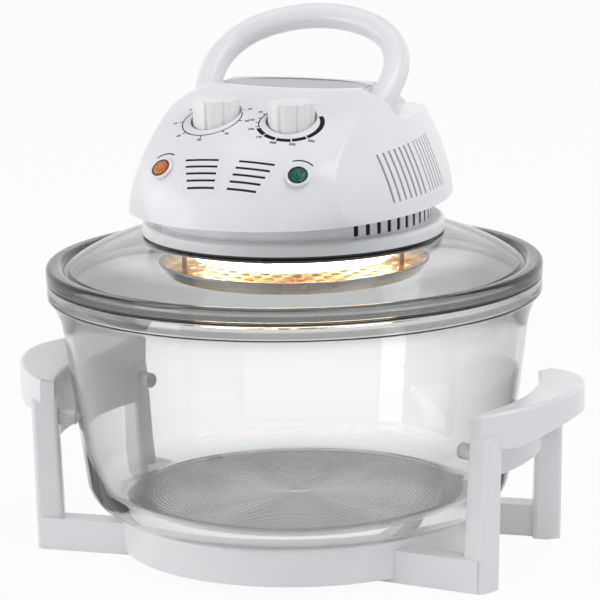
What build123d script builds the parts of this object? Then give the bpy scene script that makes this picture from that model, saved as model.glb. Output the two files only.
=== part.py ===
from build123d import *
import os
from math import asin, cos, degrees, radians, sin, sqrt

# Tabletop halogen oven: a glass bowl on a stand with two side grips, and a
# glass lid that carries the head with lamp, fans, controls and handle.
# Millimetres. Z is up from the table, -Y is the front, the origin is under
# the middle of the bowl.

os.makedirs("parts", exist_ok=True)

# ---------------------------------------------------------------- stand
ring_outer_radius = 118.0
ring_wall = 3.0
ring_flange_inner_radius = 100.0
ring_bottom = 4.5
ring_top = 28.0

frame_bottom = 1.2
arm_top = 22.5
arm_width = 16.0
boss_wall = 1.9
arm_root_x = 84.0
arm_root_front_y = -68.8
arm_tip_x = 153.0
arm_tip_front_y = -76.0
arm_wall = 3.0

post_base_radius = 164.3
post_base_angle = 23.2
post_base_depth = 18.6
post_base_width = 18.0
post_top_radius = 166.8
post_top_angle = 22.0
post_top_depth = 17.5
post_top_width = 14.5
post_corner = 3.5
post_top = 100.0

grip_inner_radius = 160.0
grip_wall = 3.0
grip_arc_radius = 80.0
grip_arc_centre_x = 115.0
grip_inner_top = 113.7
grip_slope = 0.2
grip_skirt_bottom = 71.0
grip_lip_end = 93.0
grip_lip_middle = 103.0
grip_half_angle = 24.4
finger_half_angle = 19.0

bumper_height = 88.0
bumper_radius = 5.2
bumper_edge = 1.2
bumper_pin_radius = 2.5
bumper_pin_length = 4.0
pad_angle = 36.0
pad_radius = 113.5
pad_height = 2.0
foot_radius = 6.0
foot_recess = 2.0

screw_radius = 1.9
screw_head_radius = 3.6
screw_head_height = 2.4
stand_screw_radius_place = 111.5

seat_gap = 0.3
fit_gap = 0.1

# ---------------------------------------------------------------- bowl
bowl_floor_radius = 118.0
bowl_corner_radius = 140.0
bowl_corner_height = 52.0
bowl_neck_radius = 152.6
bowl_neck_height = 151.0
bowl_rim_radius = 162.0
bowl_flare_height = 173.0
bowl_rim_top = 183.2
bowl_wall = 5.0

# ---------------------------------------------------------------- lid glass
lid_rim_radius = 162.5
lid_rim_top = 193.0
lid_rim_inner_radius = 151.0
lid_glass_wall = 4.0
lid_seat_height = 211.5
lid_seat_radius = 98.6
lid_hole_radius = 85.0
lid_lip_radius = 149.0
lid_lip_width = 3.5
lid_lip_bottom = 177.5

# ---------------------------------------------------------------- head base
gasket_thickness = 1.3
lower_gasket_thickness = 0.9
flange_radius = 98.6
flange_height = 8.2
flange_rounding = 3.0
neck_radius = 90.0
neck_wall = 3.0
base_floor = 2.7
spigot_radius = 84.5
spigot_wall = 3.0
spigot_bottom = 207.5
shelf_thickness = 2.4
shelf_gap = 0.9
slot_width = 3.2
slot_bottom = 221.6
slot_top = 231.0
slot_count = 12
slot_pitch = 5.5
slot_first_angle = -41.0
gland_radius = 4.6
gland_height = 227.0
gland_length = 16.0

# ---------------------------------------------------------------- housing
housing_bottom = 233.5
housing_top = 307.0
housing_wall = 2.5
profile_centre_height = 225.0
profile_height = 83.0
front_centre_y = 5.0
front_reach = 130.0
rear_centre_y = 10.0
rear_reach = 115.0
side_base = 100.0
crease_base = 66.0
crease_rounding = 6.0

knob_x = 25.9
knob_y = -60.6
knob_radius = 15.0
knob_bottom = 285.0
knob_height = 21.4
knob_flats = 12
knob_edge = 0.8
knob_crown = 0.5
knob_gap = 1.4
well_radius = knob_radius + knob_gap
well_floor = 284.3
well_wall = 2.0
dial_shaft_radius = 3.0

lens_x = 46.4
lens_y = -100.0
lens_z = 266.0
lens_normal = Vector(0.223, -0.687, 0.692)
lens_radius = 6.0
lens_edge = 1.0
lens_dome = 1.4
lens_depth = 8.0
bezel_barrel_radius = 6.9
bezel_flange_radius = 7.8
bezel_height = 1.4
rib_width = 2.4

vent_slots = 5
vent_slot_width = 1.7
vent_pitch = 5.1
vent_centre_y = -107.0
vent_centre_z = 266.0
vent_tilt = 46.0
vent_inner_top = 6.8
vent_inner_bottom = 4.3
vent_outer_top = 30.4
vent_outer_bottom = 23.4

louvre_first_y = -50.0
louvre_pitch = 6.4
louvre_wide = 2.2
louvre_wide_count = 7
louvre_narrow = 1.5
louvre_narrow_pitch = 5.2
louvre_narrow_count = 6
louvre_bottom = 243.0
louvre_top = 273.0

# ---------------------------------------------------------------- handle
pivot_height = 296.0
handle_lean = 50.5
handle_rise = 77.0
handle_crown_radius = 84.0
handle_crown_angle = 27.0
handle_shoulder_radius = 47.0
handle_leg_radius = 85.0
handle_tube = 8.5
pin_radius = 4.0
cam_x = 42.0
cam_width = 4.0
cam_radius = 6.0
cam_lift = 2.6
switch_width = 6.4
handle_side_gap = 0.7
channel_floor = 287.5
channel_gap = 0.6
crown_end = (
    handle_crown_radius * sin(radians(handle_crown_angle)),
    handle_rise - handle_crown_radius * (1 - cos(radians(handle_crown_angle))),
)
shoulder_centre = (
    crown_end[0] - handle_shoulder_radius * sin(radians(handle_crown_angle)),
    crown_end[1] - handle_shoulder_radius * cos(radians(handle_crown_angle)),
)
leg_turn = degrees(asin(shoulder_centre[1] / handle_leg_radius))
handle_half_width = shoulder_centre[0] + handle_shoulder_radius - handle_leg_radius * (1 - cos(radians(leg_turn)))
channel_inner_x = handle_half_width - handle_tube - handle_side_gap

# ---------------------------------------------------------------- heater
reflector_radius = 93.0
reflector_top = 206.6
reflector_thickness = 1.0
insulation_radius = 80.5
lamp_ring_radius = 61.0
lamp_tube_radius = 4.8
lamp_height = 198.0
lamp_gap_angle = 203.0
lamp_gap_half = 7.5
tray_radius = 88.4
tray_floor = 182.8
tray_sheet = 1.2
tray_rim_top = 191.0
tray_hole = 6.4
tray_pitch = 13.0
strip_radius = 80.0
strip_width = 5.0
strip_angles = (232.0, 352.0, 112.0)
strip_foot_radius = strip_radius - 4.0
clip_angles = (38.0, 158.0, 278.0)
clip_width = 6.0
clip_wall = 2.0
reflector_screw_radius = 50.0

# ---------------------------------------------------------------- motor
shaft_radius = 2.5
shaft_bottom = 189.0
shaft_top = 268.0
shaft_fit = 0.05
cooling_fan_radius = 42.0
cooling_fan_bottom = 219.0
cooling_fan_height = 11.0
convection_fan_radius = 40.0
convection_fan_bottom = 193.0
convection_fan_height = 9.0
motor_plate_height = 236.5
motor_plate_thickness = 1.5
motor_stack_bottom = motor_plate_height + motor_plate_thickness
motor_stack_height = 20.0
motor_stack_half = 29.0
rotor_radius = 15.0
motor_bracket_rise = 6.0
bearing_radius = 5.0
bearing_length = 4.0
motor_post_place = 37.0
coil_width = 30.0
coil_depth = 11.0


# ================================================================ helpers
def spoke_plane(radius, angle, height):
    """Level plane with its X axis pointing outwards along a spoke."""
    spoke = Vector(cos(radians(angle)), sin(radians(angle)), 0)
    return Plane(origin=(radius * spoke.X, radius * spoke.Y, height), x_dir=spoke, z_dir=(0, 0, 1))


def spoke_point(radius, angle):
    """Plan position of a point at a radius and an angle from +X."""
    return (radius * cos(radians(angle)), radius * sin(radians(angle)))


def ring_profile(inner, outer, bottom, top):
    """Rectangle in the XZ plane between two radii and two heights."""
    with BuildSketch(Plane.XZ) as profile:
        with Locations(((inner + outer) / 2, (bottom + top) / 2)):
            Rectangle(outer - inner, top - bottom)
    return profile.sketch


def disc(plane, radius):
    """Round face on a plane."""
    with BuildSketch(plane) as profile:
        Circle(radius)
    return profile.sketch


def column(x, y, radius, bottom, top, mode=Mode.ADD):
    """Upright cylinder between two heights."""
    with Locations((x, y, bottom)):
        Cylinder(radius, top - bottom, align=(Align.CENTER, Align.CENTER, Align.MIN), mode=mode)


def rod(x_range, y, z, radius, mode=Mode.ADD):
    """Level cylinder along X between two places."""
    with Locations(((x_range[0] + x_range[1]) / 2, y, z)):
        Cylinder(radius, x_range[1] - x_range[0], rotation=(0, 90, 0), mode=mode)


def block(x_range, y_range, z_range, mode=Mode.ADD):
    """Box between limits."""
    middle = [(low + high) / 2 for low, high in (x_range, y_range, z_range)]
    with Locations(tuple(middle)):
        Box(x_range[1] - x_range[0], y_range[1] - y_range[0], z_range[1] - z_range[0], mode=mode)


# ================================================================ stand
def arm_outline(side, growth=0.0):
    """Plan of one arm, from its tongue inside the ring to the post."""
    front = [(arm_root_x, arm_root_front_y - growth), (arm_tip_x, arm_tip_front_y - growth)]
    back = [(arm_tip_x, arm_tip_front_y + arm_width + growth), (arm_root_x, arm_root_front_y + arm_width + growth)]
    return [(x, -side * y) for x, y in front + back]


def arm_screw_places():
    """Plan places of the four stand screws."""
    middle_y = arm_root_front_y + arm_width / 2 - 1.0
    place_x = sqrt(stand_screw_radius_place**2 - middle_y**2)
    return [(mirror * place_x, side * middle_y) for mirror in (-1, 1) for side in (-1, 1)]


with BuildPart() as base_ring:
    revolve(ring_profile(ring_outer_radius - ring_wall, ring_outer_radius, ring_bottom, ring_top), axis=Axis.Z)
    revolve(ring_profile(ring_flange_inner_radius, ring_outer_radius, ring_top - ring_wall, ring_top), axis=Axis.Z)
    rim_edges = base_ring.edges().filter_by(GeomType.CIRCLE).group_by(Axis.Z)[-1]
    fillet(rim_edges.sort_by(lambda edge: edge.radius)[-1], 2.0)
    for place in arm_screw_places():
        column(*place, 5.0, arm_top, ring_top - ring_wall)
        column(*place, screw_radius + fit_gap, arm_top, ring_top - 1.5, mode=Mode.SUBTRACT)
    for mirror_x in (-1, 1):
        for side in (-1, 1):
            with BuildSketch(Plane.XY.offset(ring_bottom)):
                Polygon(*[(mirror_x * x, y) for x, y in arm_outline(side, fit_gap)], align=None)
            extrude(amount=arm_top + fit_gap - ring_bottom, mode=Mode.SUBTRACT)
base_ring.part.label = "base_ring"
export_step(base_ring.part, "parts/base_ring.step")


def grip_prism(arc_radius, half_angle):
    """Plan of the crescent grip: a disc cut by two spokes."""
    reach = 260.0
    with BuildSketch() as plan:
        with Locations((grip_arc_centre_x, 0)):
            Circle(arc_radius)
        spread = reach * sin(radians(half_angle)) / cos(radians(half_angle))
        Polygon((0, 0), (reach, -spread), (reach, spread), align=None, mode=Mode.INTERSECT)
    return plan.sketch


def grip_ring(inner, bottom, drop):
    """Ring whose top slopes up outwards, drop below the grip's top."""
    outer = grip_arc_centre_x + grip_arc_radius + 5.0
    top_inner = grip_inner_top - drop + grip_slope * (inner - grip_inner_radius)
    top_outer = grip_inner_top - drop + grip_slope * (outer - grip_inner_radius)
    with BuildSketch(Plane.XZ) as profile:
        Polygon((inner, bottom), (outer, bottom), (outer, top_outer), (inner, top_inner), align=None)
    return profile.sketch


with BuildPart() as finger_hollow:
    revolve(grip_ring(grip_inner_radius + grip_wall, 0.0, grip_wall), axis=Axis.Z)
    hollow_plan = grip_prism(grip_arc_radius - grip_wall, finger_half_angle)
    extrude(hollow_plan, amount=grip_inner_top + 20.0, mode=Mode.INTERSECT)

with BuildPart() as under_lip:
    lip_y = post_top_radius * sin(radians(finger_half_angle))
    far_y = 2.0 * lip_y
    with BuildSketch(Plane.YZ):
        with BuildLine():
            ThreePointArc((-lip_y, grip_lip_end), (0, grip_lip_middle), (lip_y, grip_lip_end))
            Line((lip_y, grip_lip_end), (far_y, grip_lip_end))
            Line((far_y, grip_lip_end), (far_y, 0))
            Line((far_y, 0), (-far_y, 0))
            Line((-far_y, 0), (-far_y, grip_lip_end))
            Line((-far_y, grip_lip_end), (-lip_y, grip_lip_end))
        make_face()
    extrude(amount=grip_arc_centre_x + 2 * grip_arc_radius)
    column(0, 0, grip_inner_radius + grip_wall, -1.0, grip_inner_top + 20.0, mode=Mode.SUBTRACT)

bowl_slope = (bowl_neck_radius - bowl_corner_radius) / (bowl_neck_height - bowl_corner_height)
bumper_tip_radius = bowl_corner_radius + bowl_slope * (bumper_height - bowl_corner_height) + seat_gap + 0.6
post_face_radius = post_top_radius - post_top_depth / 2

with BuildPart() as arm_room:
    for side in (-1, 1):
        with BuildSketch(Plane.XY):
            Polygon(*arm_outline(side, -arm_wall), align=None)
        extrude(amount=arm_top - arm_wall)
        post = spoke_point(post_base_radius, side * post_base_angle)
        column(*post, post_base_depth * 0.75, -1.0, arm_top, mode=Mode.SUBTRACT)
    for place_x, place_y in arm_screw_places():
        column(place_x, place_y, screw_head_radius + boss_wall, -1.0, arm_top, mode=Mode.SUBTRACT)

with BuildPart() as right_handle_frame:
    revolve(grip_ring(grip_inner_radius, grip_skirt_bottom, 0.0), axis=Axis.Z)
    extrude(grip_prism(grip_arc_radius, grip_half_angle), amount=grip_inner_top + 20.0, mode=Mode.INTERSECT)
    grip_top = right_handle_frame.faces().sort_by(Axis.Z)[-1]
    fillet(grip_top.edges(), 2.5)
    add(finger_hollow.part, mode=Mode.SUBTRACT)
    add(under_lip.part, mode=Mode.SUBTRACT)
    for side in (-1, 1):
        with BuildSketch(spoke_plane(post_base_radius, side * post_base_angle, frame_bottom)):
            RectangleRounded(post_base_depth, post_base_width, post_corner)
        with BuildSketch(spoke_plane(post_top_radius, side * post_top_angle, post_top)):
            RectangleRounded(post_top_depth, post_top_width, post_corner)
        loft()
        with BuildSketch(Plane.XY.offset(frame_bottom)):
            Polygon(*arm_outline(side), align=None)
        extrude(amount=arm_top - frame_bottom)
    add(arm_room.part, mode=Mode.SUBTRACT)
    for place_x, place_y in arm_screw_places():
        if place_x > 0:
            column(place_x, place_y, screw_head_radius + fit_gap, 0.0, arm_top - 8.0, mode=Mode.SUBTRACT)
            column(place_x, place_y, screw_radius + fit_gap, 0.0, arm_top + 1.0, mode=Mode.SUBTRACT)
    for side in (-1, 1):
        place = spoke_point(post_base_radius, side * post_base_angle)
        column(*place, foot_radius + fit_gap, 0.0, frame_bottom + foot_recess, mode=Mode.SUBTRACT)
        pin_plane = Plane(
            origin=(*spoke_point(post_face_radius - 3.0, side * post_top_angle), bumper_height),
            z_dir=(*spoke_point(1.0, side * post_top_angle), 0),
        )
        with BuildSketch(pin_plane):
            Circle(bumper_pin_radius + fit_gap)
        extrude(amount=bumper_pin_length + 3.5, mode=Mode.SUBTRACT)
right_handle_frame.part.label = "right_handle_frame"
export_step(right_handle_frame.part, "parts/right_handle_frame.step")

with BuildPart() as left_handle_frame:
    add(mirror(right_handle_frame.part, about=Plane.YZ))
left_handle_frame.part.label = "left_handle_frame"
export_step(left_handle_frame.part, "parts/left_handle_frame.step")

with BuildPart() as bumper_pads:
    for mirror_x in (-1, 1):
        for side in (-1, 1):
            tip = spoke_point(bumper_tip_radius, side * post_top_angle)
            outwards = spoke_point(1.0, side * post_top_angle)
            bumper_plane = Plane(
                origin=(mirror_x * tip[0], tip[1], bumper_height),
                z_dir=(mirror_x * outwards[0], outwards[1], 0),
            )
            with BuildSketch(bumper_plane):
                Circle(bumper_radius)
            extrude(amount=post_face_radius - bumper_tip_radius - 0.8)
            with BuildSketch(bumper_plane):
                Circle(bumper_pin_radius)
            extrude(amount=post_face_radius - bumper_tip_radius + bumper_pin_length)
    tip_edges = [
        edge for edge in bumper_pads.edges().filter_by(GeomType.CIRCLE)
        if Vector(edge.arc_center.X, edge.arc_center.Y, 0).length < bumper_tip_radius + 0.1
    ]
    chamfer(tip_edges, bumper_edge)
bumper_pads.part.label = "bumper_pads"
export_step(bumper_pads.part, "parts/bumper_pads.step")

with BuildPart() as glass_pads:
    for mirror_x in (-1, 1):
        for side in (-1, 1):
            angle = side * pad_angle if mirror_x > 0 else 180 - side * pad_angle
            with BuildSketch(spoke_plane(pad_radius, angle, ring_top)):
                RectangleRounded(5.0, 12.0, 2.0)
            extrude(amount=pad_height)
glass_pads.part.label = "glass_pads"
export_step(glass_pads.part, "parts/glass_pads.step")

with BuildPart() as rubber_feet:
    for mirror_x in (-1, 1):
        for side in (-1, 1):
            place = spoke_point(post_base_radius, side * post_base_angle)
            column(mirror_x * place[0], place[1], foot_radius, 0.0, frame_bottom + foot_recess)
rubber_feet.part.label = "rubber_feet"
export_step(rubber_feet.part, "parts/rubber_feet.step")

with BuildPart() as stand_screws:
    for place in arm_screw_places():
        head_top = arm_top - 8.0
        column(*place, screw_head_radius, head_top - screw_head_height, head_top)
        column(*place, screw_radius, head_top, ring_top - 2.0)
stand_screws.part.label = "stand_screws"
export_step(stand_screws.part, "parts/stand_screws.step")

# ================================================================ bowl
bowl_bottom = ring_top + pad_height + seat_gap


def bowl_side(inset, bottom):
    """Half profile of the bowl wall, from the floor's edge to the rim."""
    lower = (bowl_corner_radius - inset, bowl_corner_height + inset * 0.1)
    upper = (bowl_neck_radius - inset, bowl_neck_height)
    flare = (bowl_rim_radius - inset, bowl_flare_height)
    wall_run = Vector(upper[0] - lower[0], upper[1] - lower[1])
    corner = TangentArc((bowl_floor_radius - inset, bottom), lower, tangent=(1, 0))
    wall = Line(lower, upper)
    flare_arc = TangentArc(upper, flare, tangent=wall_run)
    rim = Line(flare, (bowl_rim_radius - inset, bowl_rim_top))
    return corner, wall, flare_arc, rim


with BuildPart() as glass_bowl:
    with BuildSketch(Plane.XZ):
        with BuildLine():
            Line((0, bowl_bottom), (bowl_floor_radius, bowl_bottom))
            bowl_side(0.0, bowl_bottom)
            Line((bowl_rim_radius, bowl_rim_top), (bowl_rim_radius - bowl_wall, bowl_rim_top))
            bowl_side(bowl_wall, bowl_bottom + bowl_wall)
            Line((bowl_floor_radius - bowl_wall, bowl_bottom + bowl_wall), (0, bowl_bottom + bowl_wall))
            Line((0, bowl_bottom + bowl_wall), (0, bowl_bottom))
        make_face()
    revolve(axis=Axis.Z)
glass_bowl.part.label = "glass_bowl"
export_step(glass_bowl.part, "parts/glass_bowl.step")

# ================================================================ lid glass
lid_bottom = bowl_rim_top + seat_gap

with BuildPart() as glass_lid:
    seat_under = lid_seat_height - lid_glass_wall
    shoulder_z = lid_rim_top - 2.5
    with BuildSketch(Plane.XZ):
        with BuildLine():
            Line((lid_hole_radius, seat_under), (lid_hole_radius, lid_seat_height))
            Line((lid_hole_radius, lid_seat_height), (lid_seat_radius, lid_seat_height))
            ThreePointArc(
                (lid_seat_radius, lid_seat_height),
                ((lid_seat_radius + lid_rim_inner_radius) / 2, (lid_seat_height + shoulder_z) / 2 + 3.0),
                (lid_rim_inner_radius, shoulder_z),
            )
            ThreePointArc(
                (lid_rim_inner_radius, shoulder_z),
                (lid_rim_inner_radius + 2.5, lid_rim_top - 0.6),
                (lid_rim_inner_radius + 5.0, lid_rim_top),
            )
            Line((lid_rim_inner_radius + 5.0, lid_rim_top), (lid_rim_radius - 3.0, lid_rim_top))
            RadiusArc((lid_rim_radius - 3.0, lid_rim_top), (lid_rim_radius, lid_rim_top - 3.0), 3.0)
            Line((lid_rim_radius, lid_rim_top - 3.0), (lid_rim_radius, lid_bottom))
            Line((lid_rim_radius, lid_bottom), (lid_lip_radius, lid_bottom))
            Line((lid_lip_radius, lid_bottom), (lid_lip_radius, lid_lip_bottom))
            Line((lid_lip_radius, lid_lip_bottom), (lid_lip_radius - lid_lip_width, lid_lip_bottom))
            Line((lid_lip_radius - lid_lip_width, lid_lip_bottom), (lid_lip_radius - lid_lip_width, lid_bottom + 4.0))
            ThreePointArc(
                (lid_lip_radius - lid_lip_width, lid_bottom + 4.0),
                ((lid_seat_radius + lid_rim_inner_radius) / 2 - 1.0, (seat_under + lid_bottom + 4.0) / 2 + 2.2),
                (lid_seat_radius, seat_under),
            )
            Line((lid_seat_radius, seat_under), (lid_hole_radius, seat_under))
        make_face()
    revolve(axis=Axis.Z)
glass_lid.part.label = "glass_lid"
export_step(glass_lid.part, "parts/glass_lid.step")

flange_bottom = lid_seat_height + gasket_thickness

with BuildPart() as lid_gasket:
    gasket_face = ring_profile(lid_hole_radius + 0.5, lid_seat_radius - 0.6, lid_seat_height, flange_bottom)
    revolve(gasket_face, axis=Axis.Z)
lid_gasket.part.label = "lid_gasket"
export_step(lid_gasket.part, "parts/lid_gasket.step")

with BuildPart() as lower_gasket:
    gasket_top = reflector_top + lower_gasket_thickness
    revolve(ring_profile(lid_hole_radius + 1.0, reflector_radius - 1.0, reflector_top, gasket_top), axis=Axis.Z)
lower_gasket.part.label = "lower_gasket"
export_step(lower_gasket.part, "parts/lower_gasket.step")


# ================================================================ housing
def station(height, wall):
    """Front, rear, crease and side places of the housing at a height."""
    rise = min((height - profile_centre_height) / (profile_height - wall), 1.0)
    span = sqrt(1.0 - rise * rise)
    front_y = front_centre_y - (front_reach - wall) * span
    rear_y = rear_centre_y + (rear_reach - wall) * span
    above = height + wall * 0.6 - housing_bottom
    side_x = side_base - 0.24 * above - 0.0028 * above * above - wall
    low = max(278.0 - height, 0.0)
    crown = max(height + wall * 0.6 - 297.0, 0.0)
    crease_x = crease_base + 0.0053 * low * low - 0.14 * crown * crown - wall * 0.8
    plan_radius = min(128.0, 128.0 - 0.9 * (270.0 - height))
    sag = plan_radius - sqrt(plan_radius * plan_radius - crease_x * crease_x)
    side_x = max(side_x - 0.11 * crown * crown, crease_x + 0.6)
    return front_y, front_y + sag, rear_y - sag, rear_y, crease_x, side_x


def housing_section(level, wall):
    """Face bounded by four arcs that meet at rounded creases."""
    front_y, front_crease_y, rear_crease_y, rear_y, crease_x, side_x = station(level, wall)
    middle_y = (front_crease_y + rear_crease_y) / 2
    with BuildSketch(Plane.XY.offset(level)) as section:
        with BuildLine():
            ThreePointArc((-crease_x, front_crease_y), (0, front_y), (crease_x, front_crease_y))
            ThreePointArc((crease_x, front_crease_y), (side_x, middle_y), (crease_x, rear_crease_y))
            ThreePointArc((crease_x, rear_crease_y), (0, rear_y), (-crease_x, rear_crease_y))
            ThreePointArc((-crease_x, rear_crease_y), (-side_x, middle_y), (-crease_x, front_crease_y))
        make_face()
        fillet(section.vertices(), crease_rounding - wall)
    return section.sketch


def channel_cut(growth):
    """Room for the handle's legs, upright and folded back, on both sides."""
    far_x = side_base + 5.0
    reach_y = handle_rise + 70.0
    inner_x = channel_inner_x - growth
    for mirror_x in (-1, 1):
        x_range = (inner_x, far_x) if mirror_x > 0 else (-far_x, -inner_x)
        front_y = -(handle_tube + channel_gap + growth)
        block(x_range, (front_y, reach_y), (pivot_height, housing_top + 20.0))
        block(x_range, (0.0, reach_y), (channel_floor - growth, housing_top + 20.0))
        rod(x_range, 0.0, pivot_height, handle_tube + channel_gap + growth)


def lens_plane_at(mirror_x):
    """Plane on the front panel at one indicator, facing out."""
    return Plane(
        origin=(mirror_x * lens_x, lens_y, lens_z),
        z_dir=(mirror_x * lens_normal.X, lens_normal.Y, lens_normal.Z),
    )


boss_places = [(46.0, -98.0), (-46.0, -98.0), (46.0, 98.0), (-46.0, 98.0)]
shelf_top = housing_bottom + 3.0
outer_levels = [housing_bottom, 243.0, 256.0, 268.5, 280.0, 289.0, 296.0, 302.0, housing_top]
inner_levels = [housing_bottom - 3.0, 243.0, 256.0, 268.5, 280.0, 289.0, 296.0, 301.0, housing_top - housing_wall]

with BuildPart() as channel_room:
    channel_cut(0.0)

with BuildPart() as channel_walls:
    channel_cut(housing_wall)

with BuildPart() as housing_cavity:
    loft([housing_section(level, housing_wall) for level in inner_levels])
    add(channel_walls.part, mode=Mode.SUBTRACT)
    for mirror_x in (-1, 1):
        column(mirror_x * knob_x, knob_y, well_radius + well_wall, well_floor - housing_wall, 320.0, mode=Mode.SUBTRACT)
    for x, y in boss_places:
        column(x, y, 4.5, shelf_top, 320.0, mode=Mode.SUBTRACT)
        rib_x = (x - rib_width / 2, x + rib_width / 2)
        rib_y = (y, y + 40.0) if y > 0 else (y - 40.0, y)
        block(rib_x, rib_y, (shelf_top, lens_z - 14.0), mode=Mode.SUBTRACT)

with BuildPart() as upper_housing:
    loft([housing_section(level, 0.0) for level in outer_levels])
    add(housing_cavity.part, mode=Mode.SUBTRACT)
    add(channel_room.part, mode=Mode.SUBTRACT)
    for mirror_x in (-1, 1):
        column(mirror_x * knob_x, knob_y, well_radius, well_floor, 320.0, mode=Mode.SUBTRACT)
        column(mirror_x * knob_x, knob_y, dial_shaft_radius + 0.6, 270.0, 320.0, mode=Mode.SUBTRACT)
        with BuildSketch(lens_plane_at(mirror_x).offset(-lens_depth - 4.0)):
            Circle(bezel_barrel_radius + fit_gap)
        extrude(amount=lens_depth + 14.0, mode=Mode.SUBTRACT)
        wall_x = mirror_x * channel_inner_x
        rod((wall_x - 4.0, wall_x + 4.0), 0.0, pivot_height, pin_radius + shaft_fit, mode=Mode.SUBTRACT)
    for place in boss_places:
        column(*place, screw_radius + fit_gap, shelf_top, shelf_top + 14.0, mode=Mode.SUBTRACT)
    vent_plane = Plane(
        origin=(0, vent_centre_y, vent_centre_z),
        x_dir=(1, 0, 0),
        z_dir=(0, -cos(radians(90 - vent_tilt)), sin(radians(90 - vent_tilt))),
    )
    with BuildSketch(vent_plane.offset(-14.0)):
        for row in range(vent_slots):
            share = row / (vent_slots - 1)
            inner = vent_inner_bottom + (vent_inner_top - vent_inner_bottom) * share
            outer = vent_outer_bottom + (vent_outer_top - vent_outer_bottom) * share
            row_y = (row - (vent_slots - 1) / 2) * vent_pitch
            with Locations(((inner + outer) / 2, row_y), (-(inner + outer) / 2, row_y)):
                Rectangle(outer - inner, vent_slot_width)
    extrude(amount=24.0, mode=Mode.SUBTRACT)
    louvres = [(louvre_first_y + louvre_pitch * i, louvre_wide) for i in range(louvre_wide_count)]
    narrow_first = louvres[-1][0] + louvre_pitch + 1.5
    louvres += [(narrow_first + louvre_narrow_pitch * i, louvre_narrow) for i in range(louvre_narrow_count)]
    for mirror_x in (-1, 1):
        with BuildSketch(Plane.YZ.offset(mirror_x * 70.0)):
            for place_y, width in louvres:
                lift = 4.0 * (place_y - louvre_first_y) / 100.0
                with Locations((place_y, (louvre_bottom + louvre_top + lift) / 2)):
                    Rectangle(width, louvre_top + lift - louvre_bottom)
        extrude(amount=mirror_x * 40.0, mode=Mode.SUBTRACT)
upper_housing.part.label = "upper_housing"
export_step(upper_housing.part, "parts/upper_housing.step")

# ================================================================ head base
def reflector_screw_places():
    """Plan places of the screws that hold the reflector."""
    return [spoke_point(reflector_screw_radius, angle + 60.0) for angle in strip_angles]


with BuildPart() as head_base:
    with BuildSketch(Plane.XZ):
        with BuildLine():
            flange_top = flange_bottom + flange_height
            corner = flange_radius - flange_rounding
            Polyline(
                (0, flange_bottom),
                (spigot_radius - spigot_wall, flange_bottom),
                (spigot_radius - spigot_wall, spigot_bottom),
                (spigot_radius, spigot_bottom),
                (spigot_radius, flange_bottom),
                (flange_radius, flange_bottom),
                (flange_radius, flange_top - flange_rounding),
            )
            RadiusArc((flange_radius, flange_top - flange_rounding), (corner, flange_top), -flange_rounding)
            Polyline(
                (corner, flange_top),
                (neck_radius, flange_top),
                (neck_radius, shelf_top),
                (neck_radius - neck_wall, shelf_top),
                (neck_radius - neck_wall, flange_bottom + base_floor),
                (0, flange_bottom + base_floor),
                (0, flange_bottom),
            )
        make_face()
    revolve(axis=Axis.Z)
    for i in range(slot_count):
        for mirror_x in (0, 1):
            angle = slot_first_angle + slot_pitch * i
            angle = 180.0 - angle if mirror_x else angle
            with BuildSketch(spoke_plane(neck_radius, angle, slot_bottom)):
                Rectangle(3 * neck_wall, slot_width)
            extrude(amount=slot_top - slot_bottom, mode=Mode.SUBTRACT)
    extrude(housing_section(shelf_top, housing_wall + shelf_gap), amount=-shelf_thickness)
    column(0, 0, neck_radius - neck_wall, shelf_top - shelf_thickness, shelf_top + 1.0, mode=Mode.SUBTRACT)
    for place in boss_places:
        column(*place, screw_radius + fit_gap, housing_bottom - 5.0, shelf_top + 1.0, mode=Mode.SUBTRACT)
    for x in (-motor_post_place, motor_post_place):
        for y in (-motor_post_place, motor_post_place):
            column(x, y, 4.0, flange_bottom + base_floor, motor_plate_height)
            column(x, y, screw_radius, motor_plate_height - 10.0, motor_plate_height, mode=Mode.SUBTRACT)
    column(0, 0, shaft_radius + 3.0, flange_bottom - 1.0, flange_bottom + base_floor + 1.0, mode=Mode.SUBTRACT)
    for place in reflector_screw_places():
        column(*place, screw_radius + fit_gap, flange_bottom - 1.0, flange_bottom + base_floor + 1.0, mode=Mode.SUBTRACT)
    with BuildSketch(Plane.XZ.offset(-neck_radius - 5.0)):
        with Locations((0, gland_height)):
            Circle(gland_radius + fit_gap)
    extrude(amount=10.0, mode=Mode.SUBTRACT)
head_base.part.label = "head_base"
export_step(head_base.part, "parts/head_base.step")

with BuildPart() as cord_gland:
    with BuildSketch(Plane.YZ):
        Polygon(
            (neck_radius - neck_wall - 2.0, 0),
            (neck_radius - neck_wall - 2.0, gland_radius + 1.4),
            (neck_radius - neck_wall - 0.3, gland_radius + 1.4),
            (neck_radius - neck_wall - 0.3, gland_radius),
            (neck_radius + 0.5, gland_radius),
            (neck_radius + 0.5, gland_radius + 0.8),
            (neck_radius + 2.5, gland_radius + 0.8),
            (neck_radius + gland_length, gland_radius - 1.2),
            (neck_radius + gland_length, 0),
            align=None,
        )
    revolve(axis=Axis.Y)
cord_gland.part.locate(Location((0, 0, gland_height)))
cord_gland.part.label = "cord_gland"
export_step(cord_gland.part, "parts/cord_gland.step")

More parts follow.
